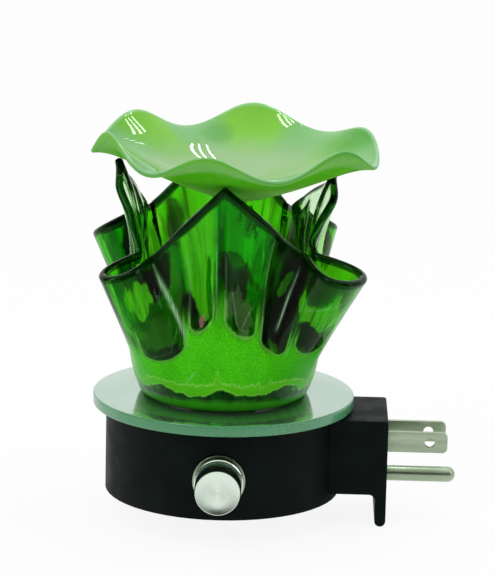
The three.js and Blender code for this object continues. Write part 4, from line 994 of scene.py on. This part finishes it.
def build_mirror():
    """The plate with its lamp hole, silvered on top and green elsewhere."""
    low, high, hole, ease = MIRROR_LOW, MIRROR_HIGH, MIRROR_HOLE_RADIUS, MIRROR_EASE
    inner = MIRROR_RADIUS - ease
    quarter = [math.pi / 2 * step / EASE_STEPS for step in range(EASE_STEPS + 1)]
    profile = [(hole, low)]
    profile += [(inner + ease * math.sin(turn), low + ease - ease * math.cos(turn)) for turn in quarter]
    profile += [(inner + ease * math.cos(turn), high - ease + ease * math.sin(turn)) for turn in quarter]
    profile += [(hole + MIRROR_HOLE_EASE, high), (hole, high - MIRROR_HOLE_EASE)]
    turns = full_turn(MIRROR_SIDES)
    rows = [to_frame(ring(turns, radius, height)) for radius, height in profile]
    piece = finished("mirror_plate", lofted("mirror_plate", rows), sharp=50)
    dress(piece, "base", "mirror", "mirror_disc")
    piece.data.materials.append(MATERIALS["mirror_edge"])
    for face in piece.data.polygons:
        face.material_index = 0 if face.normal.z > MIRROR_FLAT else 1


def build_knob():
    """Straight-knurled knob about its own +Z, which points out of the base."""
    turns = full_turn(KNOB_TEETH * KNOB_TOOTH_STEPS)
    tooth = np.abs(((turns * KNOB_TEETH / (2 * math.pi)) % 1.0) - 0.5) * 2
    cut = KNOB_KNURL * (1 - np.clip((tooth - KNOB_TOOTH_TIP) / KNOB_TOOTH_FLANK, 0, 1))
    ease, groove, length = KNOB_EASE, KNOB_RADIUS - KNOB_GROOVE, KNOB_LENGTH
    bore_end = length - KNOB_FACE_WALL
    half_hollow, hollow = (length - depth for depth in KNOB_HOLLOWS)
    # Radius, height and share of the knurl, from the end of the bore out and round to the hollow face
    profile = (
        (KNOB_BORE_RADIUS, bore_end, 0.0), (KNOB_BORE_RADIUS, 0.0, 0.0), (KNOB_FLANGE_RADIUS - ease, 0.0, 0.0),
        (KNOB_FLANGE_RADIUS, ease, 0.0), (KNOB_FLANGE_RADIUS, KNOB_FLANGE - ease, 0.0),
        (KNOB_FLANGE_RADIUS - ease, KNOB_FLANGE, 0.0), (groove, KNOB_FLANGE, 0.0),
        (groove, KNOB_FLANGE + ease, 0.0), (KNOB_RADIUS, KNOB_FLANGE + 2 * ease, 1.0),
        (KNOB_RADIUS, length - 2 * ease, 1.0), (KNOB_RADIUS - ease / 2, length - ease, 0.5),
        (KNOB_RADIUS - ease, length, 0.0), (KNOB_RADIUS - 2 * ease, length, 0.0),
        (KNOB_RADIUS - 3 * ease, length - ease / 2, 0.0), (KNOB_RADIUS / 2, half_hollow, 0.0), (ease, hollow, 0.0),
    )
    rows = [ring(turns, radius - knurl * cut, height) * MM for radius, height, knurl in profile]
    ends = np.array([(0, 0, bore_end), (0, 0, hollow)]) * MM
    piece = finished("knob_knurled", lofted("knob_knurled", rows, ends), sharp=35)
    axis = to_frame((0.0, -KNOB_BACK, KNOB_AXIS_HEIGHT))
    piece.matrix_world = Matrix.Translation(Vector(axis)) @ Matrix.Rotation(math.pi / 2, 4, "X")
    dress(piece, "knob", "aluminium", "dimmer_knob")
    piece.data.materials.append(MATERIALS["aluminium_side"])
    for face in piece.data.polygons:
        face.material_index = 0 if face.center.z > (length - ease) * MM else 1


# Carried-over CAD nodes
def carry(name, material, bevel):
    """A CAD node keeps its mesh, and gets a material, welded faces and eased edges."""
    node = cad[name]
    mesh = node.data
    if "custom_normal" in mesh.attributes:
        mesh.attributes.remove(mesh.attributes["custom_normal"])
    mesh.shade_smooth()
    mesh.materials.clear()
    mesh.materials.append(MATERIALS[material])
    weld = node.modifiers.new("weld", "WELD")
    weld.merge_threshold = WELD_REACH * MM
    ease = node.modifiers.new("ease", "BEVEL")
    ease.width = bevel * MM
    ease.segments = 2
    ease.limit_method = "ANGLE"
    ease.angle_limit = BEVEL_ANGLE
    ease.harden_normals = True


CARRIED = {
    "base_housing": ("black_plastic", 0.35),
    "bottom_cover": ("black_plastic", 0.25),
    "cover_screw_1": ("steel", 0.12),
    "cover_screw_2": ("steel", 0.12),
    "cover_screw_3": ("steel", 0.12),
    "mirror_pad": ("foam", 0.1),
    "lamp_holder": ("ceramic", 0.25),
    "holder_screw_1": ("steel", 0.12),
    "holder_screw_2": ("steel", 0.12),
    "lamp_capsule": ("clear_glass", 0.2),
    "lamp_pin_1": ("nickel", 0.1),
    "lamp_pin_2": ("nickel", 0.1),
    "dimmer_body": ("steel", 0.25),
    "dimmer_washer": ("nickel", 0.1),
    "dimmer_nut": ("nickel", 0.15),
    "dimmer_shaft": ("nickel", 0.15),
    "dimmer_board": ("board", 0.1),
    "triac": ("component", 0.2),
    "capacitor": ("film_capacitor", 0.5),
    "choke": ("ferrite", 0.3),
    "plug_block": ("black_plastic", 0.3),
    "live_blade": ("nickel", 0.15),
    "neutral_blade": ("nickel", 0.15),
    "ground_pin": ("nickel", 0.1),
    "live_lead": ("black_lead", 0.1),
    "neutral_lead": ("white_lead", 0.1),
    "lamp_lead": ("red_lead", 0.1),
    "ground_lead": ("green_lead", 0.1),
}


# Studio
def build_camera():
    turn = Matrix.Rotation(CAMERA_AZIMUTH, 3, "Z")
    cos_e, sin_e = math.cos(CAMERA_ELEVATION), math.sin(CAMERA_ELEVATION)
    forward = turn @ Vector((0, cos_e, -sin_e))
    right = turn @ Vector((1, 0, 0))
    up = right.cross(forward)
    cos_r, sin_r = math.cos(CAMERA_ROLL), math.sin(CAMERA_ROLL)
    rolled_right = cos_r * right + sin_r * up
    rolled_up = cos_r * up - sin_r * right
    aim = turn @ Vector((CAMERA_AIM[0], CAMERA_AIM[1], 0)) + Vector((0, 0, CAMERA_AIM[2]))
    place = to_frame(aim - CAMERA_DISTANCE * forward)
    data = bpy.data.cameras.new("camera")
    data.lens = CAMERA_LENS
    data.sensor_width = CAMERA_SENSOR
    data.clip_start, data.clip_end = CAMERA_CLIP
    camera = new_object("camera", data)
    axes = Matrix((rolled_right, rolled_up, -forward)).transposed().to_4x4()
    camera.matrix_world = Matrix.Translation(Vector(place)) @ axes
    bpy.context.scene.camera = camera


def area_light(name, place, aim, size, power, turn=0.0):
    data = bpy.data.lights.new(name, "AREA")
    data.shape = "RECTANGLE"
    data.size, data.size_y = size
    data.energy = power
    lamp = new_object(name, data)
    direction = Vector(aim) - Vector(place)
    lamp.location = place
    lamp.rotation_mode = "QUATERNION"
    lamp.rotation_quaternion = direction.to_track_quat("-Z", "Y") @ Quaternion((0, 0, 1), turn)


def build_floor():
    """A white floor that glows to the camera, in the mirror and through the glass, and is darker in front."""
    low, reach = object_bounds()[0].z - FLOOR_GAP, FLOOR_REACH
    corners = [(-reach, -reach, low), (reach, -reach, low), (reach, reach, low), (-reach, reach, low)]
    mesh = bpy.data.meshes.new("floor")
    mesh.from_pydata(corners, [], [(0, 1, 2, 3)])
    floor = new_object("floor", mesh)
    made, graph = new_material("floor_white")
    diffuse = graph.add("BsdfDiffuse", Color=(0.86, 0.86, 0.86))
    place = graph.add("SeparateXYZ", i0=graph.add("TexCoord").outputs["Object"])
    white = graph.mix(graph.ramp(place.outputs["Y"], -0.4, -0.1), (0.2, 0.2, 0.2), (1.0, 1.0, 1.0))
    glow = graph.add("Emission", Color=white, Strength=1.0)
    path = graph.add("LightPath")
    seen = graph.most(path.outputs["Is Camera Ray"], path.outputs["Is Glossy Ray"])
    seen = graph.most(seen, path.outputs["Is Transmission Ray"])
    mixed = graph.add("MixShader", i0=graph.times(seen, 0.9), i1=diffuse.outputs[0], i2=glow.outputs[0])
    surface(graph, mixed)
    mesh.materials.append(made)


def build_world():
    """White behind the object, and darker on the camera's side, which the glass and the metal show."""
    world = bpy.data.worlds.new("studio")
    world.use_nodes = True
    bpy.context.scene.world = world
    graph = Graph(world.node_tree)
    way = graph.add("SeparateXYZ", i0=graph.add("TexCoord").outputs["Generated"])
    behind = graph.ramp(way.outputs["Y"], -0.35, 0.45)
    colour = graph.mix(behind, (0.06, 0.06, 0.06), (0.92, 0.93, 0.92))
    colour = graph.mix(graph.ramp(way.outputs["Z"], 0.4, 0.95), colour, (1.25, 1.26, 1.25))
    back = graph.add("Background", Color=colour, Strength=1.0)
    graph.add("OutputWorld", Surface=back.outputs[0])


def build_lights():
    for name, place, size, power in SOFT_LIGHTS:
        area_light(name, place, to_frame(SOFT_LIGHT_AIM), size, power)
    for index, (x_0, y_0, x_1, y_1) in enumerate(TUBES, 1):
        place = to_frame(((x_0 + x_1) / 2, (y_0 + y_1) / 2, TUBE_HEIGHT))
        size = (TUBE_WIDTH * MM, math.hypot(x_1 - x_0, y_1 - y_0) * MM)
        turn = math.atan2(x_0 - x_1, y_1 - y_0)
        area_light(f"tube_{index}", place, place - np.array((0.0, 0.0, 1.0)), size, TUBE_POWER, turn)
    bowl = to_frame(FAR_TUBE_AIM)
    for index, way in enumerate(FAR_TUBES, 1):
        area_light(f"far_tube_{index}", bowl + np.array(way), bowl, FAR_TUBE_SIZE, FAR_TUBE_POWER)


bpy.context.scene.view_settings.view_transform = "Standard"
build_camera()
build_dish()
build_shade()
build_mirror()
build_knob()
for node_name, (node_material, node_bevel) in CARRIED.items():
    carry(node_name, node_material, node_bevel)
build_floor()
build_world()
build_lights()
